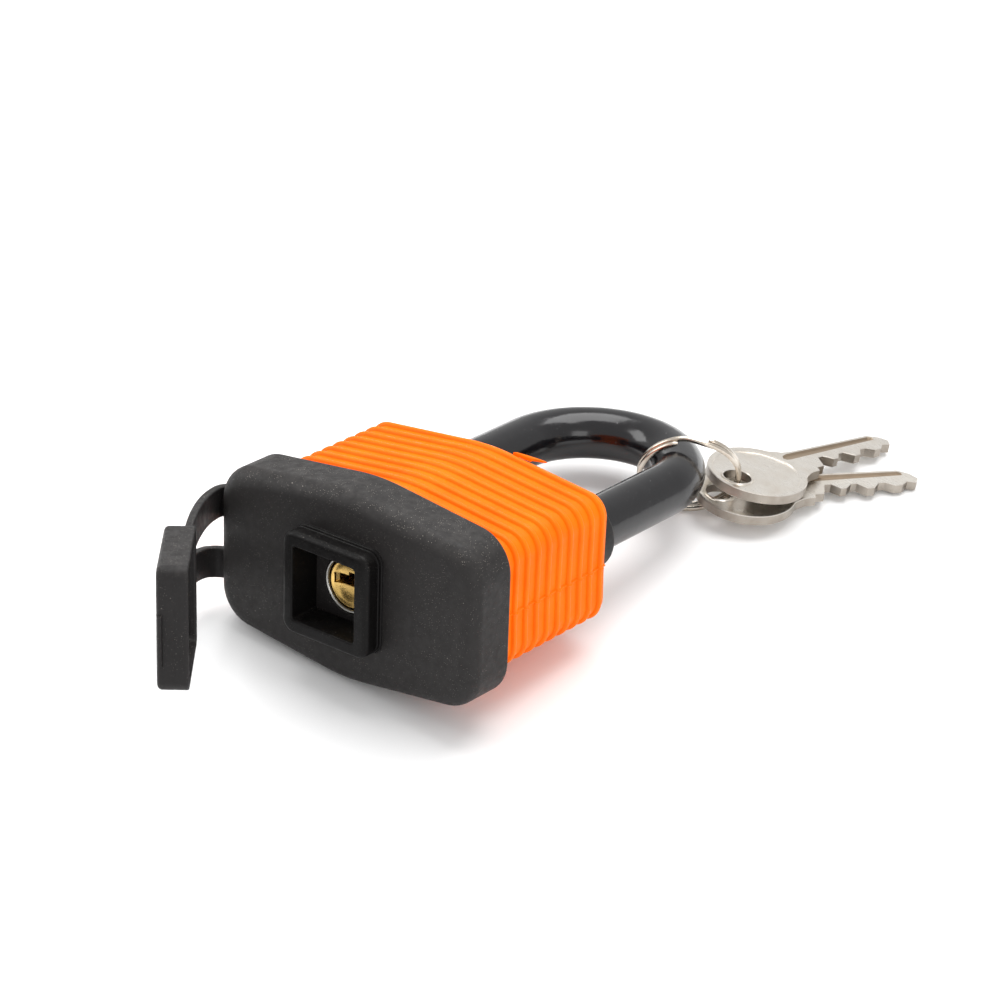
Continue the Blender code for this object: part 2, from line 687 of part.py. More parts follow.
def build_shackle():
    n = 16
    path = shackle_path(0, 0)
    mid = path[1:-1]
    left = [HEEL_END_Y, HEEL_END_Y + 0.9, RAMP_Y, NOTCH_Y0, NOTCH_Y0 + 0.02, NOTCH_Y1, NOTCH_Y1 + 1.2, 52.0]
    right = [TOE_END_Y, TOE_END_Y + 0.9, RAMP_Y + 0.02, NOTCH_Y0, NOTCH_Y0 + 0.02, NOTCH_Y1, NOTCH_Y1 + 1.2, 52.0]
    full = [(-LEG_X, y, 0) for y in left] + list(mid) + [(LEG_X, y, 0) for y in reversed(right)]
    secs = tube_sections(full, BAR_R, n)

    def flat(sec, side, depth):
        lim = LEG_X - BAR_R + depth
        return [Vector((side * max(abs(p.x), lim), p.y, p.z)) for p in sec]

    def shrink(sec, c, k):
        return [Vector((c + (p.x - c) * k, p.y, p.z * k)) for p in sec]

    for side, base, ys in ((-1, 0, left), (1, len(full) - len(right), list(reversed(right)))):
        for j, y in enumerate(ys):
            i = base + j
            if NOTCH_Y0 - 0.01 <= y <= NOTCH_Y1 + 0.01:
                secs[i] = flat(secs[i], side, NOTCH_DEPTH)
            if abs(y - min(ys)) < 1e-6:
                secs[i] = shrink(secs[i], side * LEG_X, 0.82)
    v, f = [], []
    sweep(v, f, secs)
    put("shackle_bar", v, f, STEEL)


build_shackle()


def build_coat():
    n = 16
    path = shackle_path(COAT_Y0, COAT_Y0)
    outer = tube_sections(path, COAT_OUT, n)
    inner = tube_sections(path, COAT_IN, n)
    verts, faces = [], []
    rows = outer + inner[::-1]
    sweep(verts, faces, rows, closed=True)
    put("shackle_coat", verts, faces, COAT)


build_coat()


# ---------------------------------------------------------------- keyway flap and straps
HINGE_AXIS = Vector((HINGE_TILT_X, HINGE_TILT_Y, 1.0)).normalized()
HINGE_AT = Vector((HINGE_X, HINGE_Y, 0.0))
FLAP_TURN = Matrix.Rotation(math.radians(-FLAP_OPEN_DEG), 3, HINGE_AXIS)


def flap_open(pt):
    """From the closed position over the port to the open one, about the slightly leaning hinge line."""
    return tuple(HINGE_AT + FLAP_TURN @ (Vector(pt) - HINGE_AT))


def build_flap():
    s = Skin()

    def rect(inset, r, tab=0.0):
        x0, x1, z0, z1 = FLAP_X0 + inset, FLAP_X1 - inset, FLAP_Z0 + inset, FLAP_Z1 - inset
        pts = rounded([(x0, z1), (x1, z1), (x1, z0), (x0, z0)], [r] * 4, 4)
        edge = [(x1, TAB_Z1 + 0.15), (x1 + tab, TAB_Z1), (x1 + tab, TAB_Z0), (x1, TAB_Z0 - 0.15)]
        return pts[:10] + edge + pts[10:]

    loops = [s.ring(rect(0.8, 1.3, TAB_OUT), FLAP_BACK_Y), s.ring(rect(0.0, 2.1, TAB_OUT), FLAP_BACK_Y + 0.8),
             s.ring(rect(0.0, 2.1, TAB_OUT), FLAP_BACK_Y + TAB_T), s.ring(rect(0.0, 2.1), FLAP_BACK_Y + TAB_T + 0.1),
             s.ring(rect(0.0, 2.1), FLAP_RIM_Y), s.ring(rect(FLAP_WALL, 1.1), FLAP_RIM_Y),
             s.ring(rect(FLAP_WALL, 1.1), FLAP_BACK_Y + 1.2)]
    s.fill(loops[0])
    for p, q in zip(loops, loops[1:]):
        s.bridge(p, q)
    s.fill(loops[-1])
    s.v = [flap_open(p) for p in s.v]
    s.put("keyway_flap", RUBBER, pivot=(HINGE_X, HINGE_Y, 0))


build_flap()


def build_strap(name, path):
    pts = [Vector(p) for p in path]
    secs = []
    for i, p in enumerate(pts):
        t = pts[min(i + 1, len(pts) - 1)] - pts[max(i - 1, 0)]
        nrm = Vector((-t.y, t.x, 0)).normalized()
        h = STRAP_T / 2
        secs.append([p + nrm * a + Vector((0, 0, b)) for a, b in
                     ((-h, -STRAP_HALF), (h, -STRAP_HALF), (h, STRAP_HALF), (-h, STRAP_HALF))])
    v, f = [], []
    sweep(v, f, secs)
    put(name, v, f, RUBBER)


build_strap("flap_strap_upper", UPPER_STRAP_PATH)
build_strap("flap_strap_lower", LOWER_STRAP_PATH)


# ---------------------------------------------------------------- split ring
def build_ring():
    n = Vector(RING_N).normalized()
    e = n.cross(Vector((0, 0, 1))).normalized()
    u = e.cross(n).normalized()
    c = Vector(RING_C)
    per = 26
    start, end, jog = 0.32, 4 * math.pi - 0.32, 0.3
    m = per * 2
    secs = []
    for i in range(m + 1):
        t = start + (end - start) * i / m
        k = min(1.0, max(-1.0, (t - 2 * math.pi) / jog))
        k = math.sin(k * math.pi / 2)
        # the break sits at the top of the ring, away from keys and bar
        a = t + math.pi / 2
        rad = e * math.cos(a) + u * math.sin(a)
        mid = c + rad * RING_R + n * (0.5 * RING_STEP * k)
        secs.append([mid + rad * (RING_WIRE_R * q) + n * (RING_WIRE_A * w) for q, w in
                     ((1, 0.4), (0.4, 1), (-0.4, 1), (-1, 0.4), (-1, -0.4), (-0.4, -1), (0.4, -1), (1, -0.4))])
    v, f = [], []
    sweep(v, f, secs)
    put("split_ring", v, f, NICKEL, pivot=RING_C, frame=GROUND)


build_ring()


# ---------------------------------------------------------------- keys
KEY_OUTLINE_BLADE = (
    (17.2, 4.3), (19.4, 4.0), (40.6, 3.3), (43.0, 1.6), (44.0, -0.3), (42.9, -1.7), (41.2, -1.1), (39.6, -2.3),
    (37.9, -2.3), (36.2, -0.9), (34.8, -0.9), (33.2, -2.6), (31.6, -2.6), (30.0, -0.6), (28.7, -0.6), (27.2, -2.0),
    (25.9, -2.0), (24.4, -0.2), (23.0, -0.2), (21.6, -3.4), (19.6, -3.4), (19.2, -4.6), (17.2, -4.7),
)


def key_frame(hole, tip):
    h, t = Vector(hole), Vector(tip)
    x = (t - h).normalized()
    y = Vector((0, 0, 1)).cross(x).normalized()
    z = x.cross(y)
    return GROUND @ Matrix.Translation(h * MM) @ Matrix((x, y, z)).transposed().to_4x4()


def build_key(name, hole, tip):
    """Built in the key's own frame: hole at the origin, blade along +X, face up +Z."""
    bow_c, bow_r = 5.7, 10.3
    a0 = math.radians(36)
    arc = [(bow_c + bow_r * math.cos(a0 + (2 * math.pi - 2 * a0) * k / 26),
            bow_r * math.sin(a0 + (2 * math.pi - 2 * a0) * k / 26)) for k in range(27)]
    outline = arc + [(x, z) for x, z in reversed(KEY_OUTLINE_BLADE)]
    h = KEY_T / 2
    s = Skin()
    loops = []
    for z in (-h, h):
        loops.append((s.loop([(x, y, z) for x, y in outline]),
                      s.loop([(KEY_HOLE_R * math.cos(2 * math.pi * k / 16), KEY_HOLE_R * math.sin(2 * math.pi * k / 16), z) for k in range(16)])))
    (o0, h0), (o1, h1) = loops
    s.bridge(o0, o1)
    s.bridge(h0, h1)
    s.fill(o0, [h0], axes=(0, 1))
    s.fill(o1, [h1], axes=(0, 1))
    s.put(name, NICKEL, frame=key_frame(hole, tip))


build_key("key_upper", KEY_A_HOLE, KEY_A_TIP)
build_key("key_lower", KEY_B_HOLE, KEY_B_TIP)
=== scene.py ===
import json
import math

import bmesh
import bpy
from mathutils import Matrix, Vector
from mathutils.geometry import delaunay_2d_cdt

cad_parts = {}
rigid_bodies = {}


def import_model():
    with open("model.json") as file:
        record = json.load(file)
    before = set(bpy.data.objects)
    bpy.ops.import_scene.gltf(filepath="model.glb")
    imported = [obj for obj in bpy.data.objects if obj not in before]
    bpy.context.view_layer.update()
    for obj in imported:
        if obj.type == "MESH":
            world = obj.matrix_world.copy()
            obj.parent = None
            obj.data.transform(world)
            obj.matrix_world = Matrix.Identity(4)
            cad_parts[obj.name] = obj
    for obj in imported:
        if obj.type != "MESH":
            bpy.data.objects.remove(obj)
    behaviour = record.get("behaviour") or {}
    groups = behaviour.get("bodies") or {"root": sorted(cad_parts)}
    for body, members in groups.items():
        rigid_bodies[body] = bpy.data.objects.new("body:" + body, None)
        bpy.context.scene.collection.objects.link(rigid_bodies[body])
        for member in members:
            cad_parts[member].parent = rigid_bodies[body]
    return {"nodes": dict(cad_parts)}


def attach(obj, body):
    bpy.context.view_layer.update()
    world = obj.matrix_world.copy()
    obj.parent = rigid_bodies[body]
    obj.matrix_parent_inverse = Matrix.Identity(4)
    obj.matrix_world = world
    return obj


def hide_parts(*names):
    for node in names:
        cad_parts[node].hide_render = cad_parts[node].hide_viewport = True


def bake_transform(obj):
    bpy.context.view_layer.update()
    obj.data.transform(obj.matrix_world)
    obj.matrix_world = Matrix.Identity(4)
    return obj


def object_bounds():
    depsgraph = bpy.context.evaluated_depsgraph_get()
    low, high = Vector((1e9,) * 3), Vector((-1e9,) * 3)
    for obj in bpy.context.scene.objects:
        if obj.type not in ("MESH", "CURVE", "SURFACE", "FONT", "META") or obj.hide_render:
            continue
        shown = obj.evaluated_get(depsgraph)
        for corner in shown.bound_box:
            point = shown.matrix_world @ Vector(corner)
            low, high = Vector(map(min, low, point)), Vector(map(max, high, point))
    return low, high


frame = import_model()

MM = 0.001
cad_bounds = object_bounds()

# ------------------------------------------------------------------ the lock's own frame, in mm
REST_SLOPE_X, REST_SLOPE_Y, REST_HEIGHT = 0.119, -0.1076, 20.34
SHIFT_X, SHIFT_Y = -3.233, -49.37
up = Vector((REST_SLOPE_X, REST_SLOPE_Y, 1.0)).normalized()
ahead = (Vector((0, 1, 0)) - up * up.y).normalized()
side = ahead.cross(up)
LAY = Matrix.Translation((SHIFT_X * MM, SHIFT_Y * MM, REST_HEIGHT * MM)) @ Matrix((side, ahead, up)).to_4x4()
GROUND = Matrix.Translation((SHIFT_X * MM, SHIFT_Y * MM, 0))


# ------------------------------------------------------------------ materials
class Mat:
    def __init__(self, name):
        self.m = bpy.data.materials.new(name)
        self.m.use_nodes = True
        self.t = self.m.node_tree
        self.b = self.t.nodes["Principled BSDF"]
        tc = self.t.nodes.new("ShaderNodeTexCoord")
        mp = self.t.nodes.new("ShaderNodeMapping")
        mp.inputs["Scale"].default_value = (1000, 1000, 1000)
        self.t.links.new(tc.outputs["Object"], mp.inputs["Vector"])
        self.co = mp.outputs["Vector"]

    def set(self, **kw):
        for k, v in kw.items():
            self.b.inputs[k.replace("_", " ")].default_value = v
        return self

    def link(self, a, b):
        self.t.links.new(a, b)

    def coords(self, scale):
        mp = self.t.nodes.new("ShaderNodeMapping")
        mp.inputs["Scale"].default_value = scale
        self.link(self.co, mp.inputs["Vector"])
        return mp.outputs["Vector"]

    def noise(self, scale, detail=3.0, rough=0.5, co=None, distortion=0.0):
        n = self.t.nodes.new("ShaderNodeTexNoise")
        n.inputs["Scale"].default_value = scale
        n.inputs["Detail"].default_value = detail
        n.inputs["Roughness"].default_value = rough
        n.inputs["Distortion"].default_value = distortion
        self.link(co or self.co, n.inputs["Vector"])
        return n.outputs["Fac"]

    def cells(self, scale, co=None):
        n = self.t.nodes.new("ShaderNodeTexVoronoi")
        n.inputs["Scale"].default_value = scale
        self.link(co or self.co, n.inputs["Vector"])
        return n.outputs["Distance"], n.outputs["Color"]

    def ramp(self, fac, stops):
        r = self.t.nodes.new("ShaderNodeValToRGB")
        e = r.color_ramp.elements
        while len(e) < len(stops):
            e.new(0.5)
        for el, (p, c) in zip(e, stops):
            el.position = p
            el.color = (c[0], c[1], c[2], 1.0) if isinstance(c, (tuple, list)) else (c, c, c, 1.0)
        self.link(fac, r.inputs["Fac"])
        return r.outputs["Color"]

    def rng(self, val, a, b, c, d):
        n = self.t.nodes.new("ShaderNodeMapRange")
        for i, v in ((1, a), (2, b), (3, c), (4, d)):
            n.inputs[i].default_value = v
        self.link(val, n.inputs[0])
        return n.outputs[0]

    def math(self, op, a, b=None):
        n = self.t.nodes.new("ShaderNodeMath")
        n.operation = op
        for i, v in enumerate((a, b)):
            if v is None:
                continue
            if isinstance(v, (int, float)):
                n.inputs[i].default_value = v
            else:
                self.link(v, n.inputs[i])
        return n.outputs[0]

    def mix(self, fac, a, b):
        n = self.t.nodes.new("ShaderNodeMix")
        n.data_type = "RGBA"
        for i, v in ((0, fac), (6, a), (7, b)):
            if isinstance(v, (int, float)):
                n.inputs[i].default_value = v
            elif isinstance(v, tuple):
                n.inputs[i].default_value = (v[0], v[1], v[2], 1.0)
            else:
                self.link(v, n.inputs[i])
        return n.outputs[2]

    def upward(self, lo=0.2, hi=0.9):
        g = self.t.nodes.new("ShaderNodeNewGeometry")
        s = self.t.nodes.new("ShaderNodeSeparateXYZ")
        self.link(g.outputs["Normal"], s.inputs[0])
        return self.rng(s.outputs["Z"], lo, hi, 0.0, 1.0)

    def bump(self, *layers):
        prev = None
        for height, strength, dist in layers:
            n = self.t.nodes.new("ShaderNodeBump")
            n.inputs["Strength"].default_value = strength
            n.inputs["Distance"].default_value = dist * MM
            self.link(height, n.inputs["Height"])
            if prev is not None:
                self.link(prev, n.inputs["Normal"])
            prev = n.outputs["Normal"]
        self.link(prev, self.b.inputs["Normal"])
        return self


def specks(m, scale, size, keep, mask_scale=0.25, lo=0.45, hi=0.6):
    """Sparse light grains: a cell's centre shows where that cell's own random value is high."""
    d, c = m.cells(scale)
    near = m.rng(d, size * 0.55, size, 1.0, 0.0)
    s = m.t.nodes.new("ShaderNodeSeparateColor")
    m.link(c, s.inputs[0])
    pick = m.rng(s.outputs[0], keep, keep + 0.02, 0.0, 1.0)
    cloud = m.rng(m.noise(mask_scale, 3), lo, hi, 0.0, 1.0)
    return m.math("MULTIPLY", m.math("MULTIPLY", near, pick), cloud)


def rubber(name, base=(0.0125, 0.0110, 0.0108), rough=0.55, dust_and_upward_tint=1.0, spec=0.26):
    m = Mat(name)
    m.set(IOR=1.5, Specular_IOR_Level=spec)
    tone = m.rng(m.noise(0.18, 4), 0.3, 0.7, 0.0, 1.0)
    body = m.mix(tone, base, tuple(c * 1.18 for c in base))
    fine = specks(m, 3.2, 0.20, 0.40, 0.3, 0.38, 0.60)
    coarse = specks(m, 1.1, 0.13, 0.80, 0.12, 0.45, 0.62)
    grains = m.math("MAXIMUM", fine, coarse)
    topside = m.rng(m.upward(0.15, 0.85), 0, 1, 0.30, 1.0)
    amount = m.math("MULTIPLY", m.math("MULTIPLY", grains, topside), dust_and_upward_tint)
    # pale grey tint in noise patches, stronger the more a face points upward, so the tops come out lighter than the
    # sides
    upward_pale_tint = m.math("MULTIPLY", m.math("MULTIPLY", m.upward(0.25, 1.0), m.rng(m.noise(0.5, 5, 0.65), 0.40, 0.72, 0.01, 0.085)), dust_and_upward_tint)
    c1 = m.mix(upward_pale_tint, body, (0.30, 0.28, 0.26))
    c2 = m.mix(m.math("MINIMUM", amount, 0.85), c1, (0.46, 0.42, 0.37))
    m.link(c2, m.b.inputs["Base Color"])
    r = m.rng(m.noise(0.7, 4), 0.3, 0.7, rough - 0.06, rough + 0.10)
    m.link(r, m.b.inputs["Roughness"])
    m.bump((m.noise(9.0, 3, 0.6), 0.25, 0.05), (m.noise(0.6, 3), 0.25, 0.25), (grains, 0.4, 0.06))
    return m.m


def vinyl(name):
    m = Mat(name)
    m.set(IOR=1.45, Subsurface_Weight=0.06, Subsurface_Scale=0.001, Specular_IOR_Level=0.13)
    m.b.inputs["Subsurface Radius"].default_value = (1.0, 0.35, 0.08)
    tone = m.rng(m.noise(0.12, 4), 0.3, 0.7, 0.0, 1.0)
    base = m.mix(tone, (0.90, 0.150, 0.0012), (0.93, 0.178, 0.0020))
    dirt = specks(m, 0.9, 0.10, 0.80, 0.1, 0.5, 0.62)
    m.link(m.mix(m.math("MULTIPLY", dirt, 0.35), base, (0.45, 0.10, 0.02)), m.b.inputs["Base Color"])
    m.link(m.rng(m.noise(0.9, 4), 0.3, 0.7, 0.36, 0.50), m.b.inputs["Roughness"])
    m.bump((m.noise(7.0, 2), 0.12, 0.04), (m.noise(0.35, 3), 0.25, 0.25))
    return m.m


def coating(name):
    m = Mat(name)
    m.set(IOR=1.5, Coat_Weight=0.10, Coat_Roughness=0.06, Specular_IOR_Level=0.42)
    grains = m.math("MAXIMUM", specks(m, 0.7, 0.10, 0.62, 0.15, 0.42, 0.6), specks(m, 1.9, 0.13, 0.7, 0.3, 0.45, 0.62))
    c = m.mix(m.math("MULTIPLY", grains, 0.5), (0.0050, 0.0046, 0.0056), (0.26, 0.25, 0.25))
    m.link(c, m.b.inputs["Base Color"])
    m.link(m.rng(m.noise(0.5, 5), 0.3, 0.7, 0.13, 0.22), m.b.inputs["Roughness"])
    m.bump((m.noise(0.22, 3), 0.22, 0.35), (m.noise(2.2, 3), 0.07, 0.05), (grains, 0.3, 0.05))
    return m.m


def metal(name, base, rough=0.32, stretch=(0.06, 2.2, 2.2), wear=(0.5, 0.45, 0.4), wear_amt=0.25, bump=0.08, fine=6.0):
    m = Mat(name)
    m.set(Metallic=1.0)
    grain = m.noise(fine, 4, 0.6, co=m.coords(stretch))
    cloud = m.rng(m.noise(0.25, 5, 0.6), 0.35, 0.7, 0.0, 1.0)
    pits = specks(m, 1.2, 0.14, 0.72, 0.25, 0.45, 0.6)
    c = m.mix(m.math("MULTIPLY", cloud, wear_amt), base, wear)
    c = m.mix(m.math("MULTIPLY", pits, 0.5), c, tuple(v * 0.35 for v in base))
    m.link(c, m.b.inputs["Base Color"])
    m.link(m.math("ADD", m.rng(grain, 0.3, 0.7, rough - 0.07, rough + 0.10), m.rng(cloud, 0, 1, 0.0, 0.08)), m.b.inputs["Roughness"])
    m.bump((grain, bump, 0.05), (m.noise(0.8, 3), 0.10, 0.08), (pits, 0.3, -0.05))
    return m.m


RUBBER_CAP = rubber("cap_rubber")
RUBBER_FLAP = rubber("flap_rubber", (0.0115, 0.0102, 0.0102), 0.50, 0.8, 0.22)
RUBBER_SEAL = rubber("seal_rubber", (0.010, 0.0095, 0.0098), 0.5, 0.5, 0.25)
RUBBER_DEEP = rubber("port_rubber", (0.0028, 0.0024, 0.0024), 0.42, 0.3, 0.13)
VINYL = vinyl("orange_vinyl_look")
COAT = coating("shackle_coating_look")
STEEL = metal("plated_steel_look", (0.46, 0.47, 0.50), 0.34, (1.5, 1.5, 0.08), (0.30, 0.29, 0.28), 0.3)
NOSE = metal("nose_ring_look", (0.50, 0.49, 0.46), 0.26, (1, 1, 1), (0.35, 0.33, 0.30), 0.3)
BRASS = metal("plug_brass_look", (0.78, 0.52, 0.17), 0.24, (1, 0.3, 1), (0.42, 0.27, 0.09), 0.5)
PIN_BRASS = metal("pin_brass_look", (0.74, 0.52, 0.22), 0.28, (1, 1, 1), (0.5, 0.34, 0.14), 0.3)
WIRE = metal("spring_wire_look", (0.52, 0.53, 0.55), 0.26, (1, 1, 1), (0.3, 0.3, 0.3), 0.2)
RING_MAT = metal("ring_nickel_look", (0.62, 0.575, 0.51), 0.17, (1, 1, 1), (0.34, 0.25, 0.17), 0.55, 0.04)
KEY_MAT = metal("key_nickel_look", (0.74, 0.705, 0.65), 0.27, (0.10, 1.6, 1.6), (0.50, 0.44, 0.37), 0.55, 0.14)
KEY_EDGE = metal("key_edge_look", (0.36, 0.325, 0.285), 0.30, (1.2, 1.2, 0.2), (0.18, 0.15, 0.12), 0.6, 0.2)
GROOVE_MAT = metal("key_groove_look", (0.34, 0.27, 0.20), 0.40, (0.06, 1.8, 1.8), (0.24, 0.19, 0.14), 0.6, 0.12)


# ------------------------------------------------------------------ mesh building
def rounded(points, radii, steps):
    out = []
    n = len(points)
    for i in range(n):
        p, a, b = Vector(points[i]), Vector(points[i - 1]), Vector(points[(i + 1) % n])
        u, v = (a - p).normalized(), (b - p).normalized()
        r = radii[i]
        ang = u.angle(v)
        t = r / math.tan(ang / 2)
        c = p + (u + v).normalized() * (r / math.sin(ang / 2))
        p0, p1 = p + u * t - c, p + v * t - c
        a0 = math.atan2(p0.y, p0.x)
        d = (math.atan2(p1.y, p1.x) - a0 + math.pi) % (2 * math.pi) - math.pi
        st = steps[i] if isinstance(steps, (list, tuple)) else steps
        for k in range(st + 1):
            th = a0 + d * k / st
            out.append((c.x + r * math.cos(th), c.y + r * math.sin(th)))
    return out


def hexagon(a, h, s, r, rr, steps=10, ridge=12):
    return rounded([(0, h), (a, s), (a, -s), (0, -h), (-a, -s), (-a, s)], [rr, r, r, rr, r, r], [ridge, steps, steps, ridge, steps, steps])


def square(cx, half, r, steps=8, cz=0.0):
    return rounded([(cx - half, cz + half), (cx + half, cz + half), (cx + half, cz - half), (cx - half, cz - half)], [r] * 4, steps)


def circle(cx, cz, r, n):
    return [(cx + r * math.cos(2 * math.pi * k / n), cz + r * math.sin(2 * math.pi * k / n)) for k in range(n)]


def inside(pt, poly):
    x, y = pt
    hit = False
    n = len(poly)
    for i in range(n):
        x1, y1 = poly[i]
        x2, y2 = poly[(i + 1) % n]
        if (y1 > y) != (y2 > y) and x < (x2 - x1) * (y - y1) / (y2 - y1) + x1:
            hit = not hit
    return hit


def finish_mesh(name, verts, faces, mats, matrix, angle=35.0, face_mat=None):
    mesh = bpy.data.meshes.new(name)
    mesh.from_pydata([tuple(matrix @ (Vector(v) * MM)) for v in verts], [], faces)
    for m in (mats if isinstance(mats, (list, tuple)) else [mats]):
        mesh.materials.append(m)
    if face_mat:
        for p in mesh.polygons:
            p.material_index = face_mat[p.index]
    bm = bmesh.new()
    bm.from_mesh(mesh)
    bmesh.ops.remove_doubles(bm, verts=bm.verts, dist=2e-7)
    bmesh.ops.recalc_face_normals(bm, faces=bm.faces)
    if bm.calc_volume(signed=True) < 0:
        bmesh.ops.reverse_faces(bm, faces=bm.faces)
    lim = math.radians(angle)
    for e in bm.edges:
        if len(e.link_faces) == 2 and e.calc_face_angle(0) > lim:
            e.smooth = False
    for f in bm.faces:
        f.smooth = True
    bm.to_mesh(mesh)
    bm.free()
    ob = bpy.data.objects.new(name, mesh)
    bpy.context.scene.collection.objects.link(ob)
    w = ob.modifiers.new("weighted", "WEIGHTED_NORMAL")
    w.keep_sharp = True
    w.weight = 60
    return ob


class Skin:
    def __init__(self):
        self.v, self.f, self.fm, self.mat = [], [], [], 0

    def add(self, face):
        self.f.append(face)
        self.fm.append(self.mat)

    def loop(self, pts3):
        n = len(self.v)
        self.v.extend(pts3)
        return list(range(n, n + len(pts3)))

    def ring(self, outline, y):
        return self.loop([(x, y, z) for x, z in outline])

    def flat(self, outline, z):
        return self.loop([(x, y, z) for x, y in outline])

    def bridge(self, a, b):
        n = len(a)
        for i in range(n):
            j = (i + 1) % n
            self.add((a[i], a[j], b[j], b[i]))

    def chain(self, loops):
        for p, q in zip(loops, loops[1:]):
            self.bridge(p, q)

    def fill(self, outer, holes=(), axes=(0, 2)):
        ids = list(outer)
        edges = [(i, (i + 1) % len(outer)) for i in range(len(outer))]
        for h in holes:
            n = len(ids)
            ids.extend(h)
            edges.extend((n + i, n + (i + 1) % len(h)) for i in range(len(h)))
        flat = [Vector((self.v[i][axes[0]], self.v[i][axes[1]])) for i in ids]
        vs, es, fs, ov, oe, of = delaunay_2d_cdt(flat, edges, [], 0, 1e-6)
        back = {k: ids[src[0]] for k, src in enumerate(ov) if src}
        op = [(self.v[i][axes[0]], self.v[i][axes[1]]) for i in outer]
        hp = [[(self.v[i][axes[0]], self.v[i][axes[1]]) for i in h] for h in holes]
        for f in fs:
            c = sum((vs[k] for k in f), Vector((0, 0))) / len(f)
            if inside(c, op) and not any(inside(c, h) for h in hp):
                self.add(tuple(back[k] for k in f))

    def make(self, name, mats, matrix=LAY, angle=35.0):
        return finish_mesh(name, self.v, self.f, mats, matrix, angle, self.fm)


def arc(n, a0, a1):
    return [a0 + (a1 - a0) * k / n for k in range(n + 1)]


def lathe(name, profile, cx, cz, n, mats, angle=35.0, matrix=LAY, closed=True):
    verts, faces, rows = [], [], []
    for r, a in profile:
        if r == 0:
            verts.append((cx, a, cz))
            rows.append([len(verts) - 1])
        else:
            rows.append(list(range(len(verts), len(verts) + n)))
            verts.extend((cx + r * math.cos(2 * math.pi * k / n), a, cz + r * math.sin(2 * math.pi * k / n)) for k in range(n))
    pairs = list(zip(rows, rows[1:]))
    if profile[0][0] != 0 and closed:
        pairs.append((rows[-1], rows[0]))
    for p, q in pairs:
        for k in range(n):
            j = (k + 1) % n
            if len(p) == 1:
                faces.append((p[0], q[k], q[j]))
            elif len(q) == 1:
                faces.append((p[k], p[j], q[0]))
            else:
                faces.append((p[k], p[j], q[j], q[k]))
    return finish_mesh(name, verts, faces, mats, matrix, angle)


def sweep(verts, faces, sections, closed=False):
    base = len(verts)
    n = len(sections[0])
    for sec in sections:
        verts.extend(tuple(p) for p in sec)
    m = len(sections)
    for i in range(m if closed else m - 1):
        a, b = base + i * n, base + ((i + 1) % m) * n
        for k in range(n):
            j = (k + 1) % n
            faces.append((a + k, a + j, b + j, b + k))
    if not closed:
        faces.append(tuple(base + k for k in range(n))[::-1])
        faces.append(tuple(base + (m - 1) * n + k for k in range(n)))


def tube_sections(path, radii, n, upv=(0, 0, 1), squash=None):
    pts = [Vector(p) for p in path]
    out = []
    for i, p in enumerate(pts):
        t = (pts[min(i + 1, len(pts) - 1)] - pts[max(i - 1, 0)]).normalized()
        b = Vector(upv)
        b = (b - t * b.dot(t)).normalized()
        c = t.cross(b)
        r = radii[i] if isinstance(radii, (list, tuple)) else radii
        out.append([p + c * (r * math.cos(2 * math.pi * k / n)) + b * (r * math.sin(2 * math.pi * k / n)) for k in range(n)])
    return out


def cut_away(ob, cutters):
    """Exact boolean, kept as plain mesh; the cutters go."""
    for c in cutters:
        m = ob.modifiers.new("cut", "BOOLEAN")
        m.operation, m.solver, m.object = "DIFFERENCE", "EXACT", c
    wn = ob.modifiers.get("weighted")
    if wn:
        ob.modifiers.remove(wn)
    bpy.context.view_layer.update()
    dg = bpy.context.evaluated_depsgraph_get()
    new = bpy.data.meshes.new_from_object(ob.evaluated_get(dg))
    ob.modifiers.clear()
    ob.data = new
    bm = bmesh.new()
    bm.from_mesh(new)
    for e in bm.edges:
        e.smooth = not (len(e.link_faces) == 2 and e.calc_face_angle(0) > math.radians(30))
    for f in bm.faces:
        f.smooth = True
    bm.to_mesh(new)
    bm.free()
    for c in cutters:
        bpy.data.objects.remove(c, do_unlink=True)
    w = ob.modifiers.new("weighted", "WEIGHTED_NORMAL")
    w.keep_sharp = True
    return ob


# ------------------------------------------------------------------ weather cap
CAP = dict(a=30.95, h=19.28, s=15.59, r=7.7, rr=40.0)
BODY = dict(a=25.7, h=13.0, s=9.9, r=3.8, rr=8.0)


def cap_outline(inset):
    return hexagon(CAP["a"] - inset, CAP["h"] - inset, CAP["s"] - inset, CAP["r"] - inset, CAP["rr"], 14, 16)


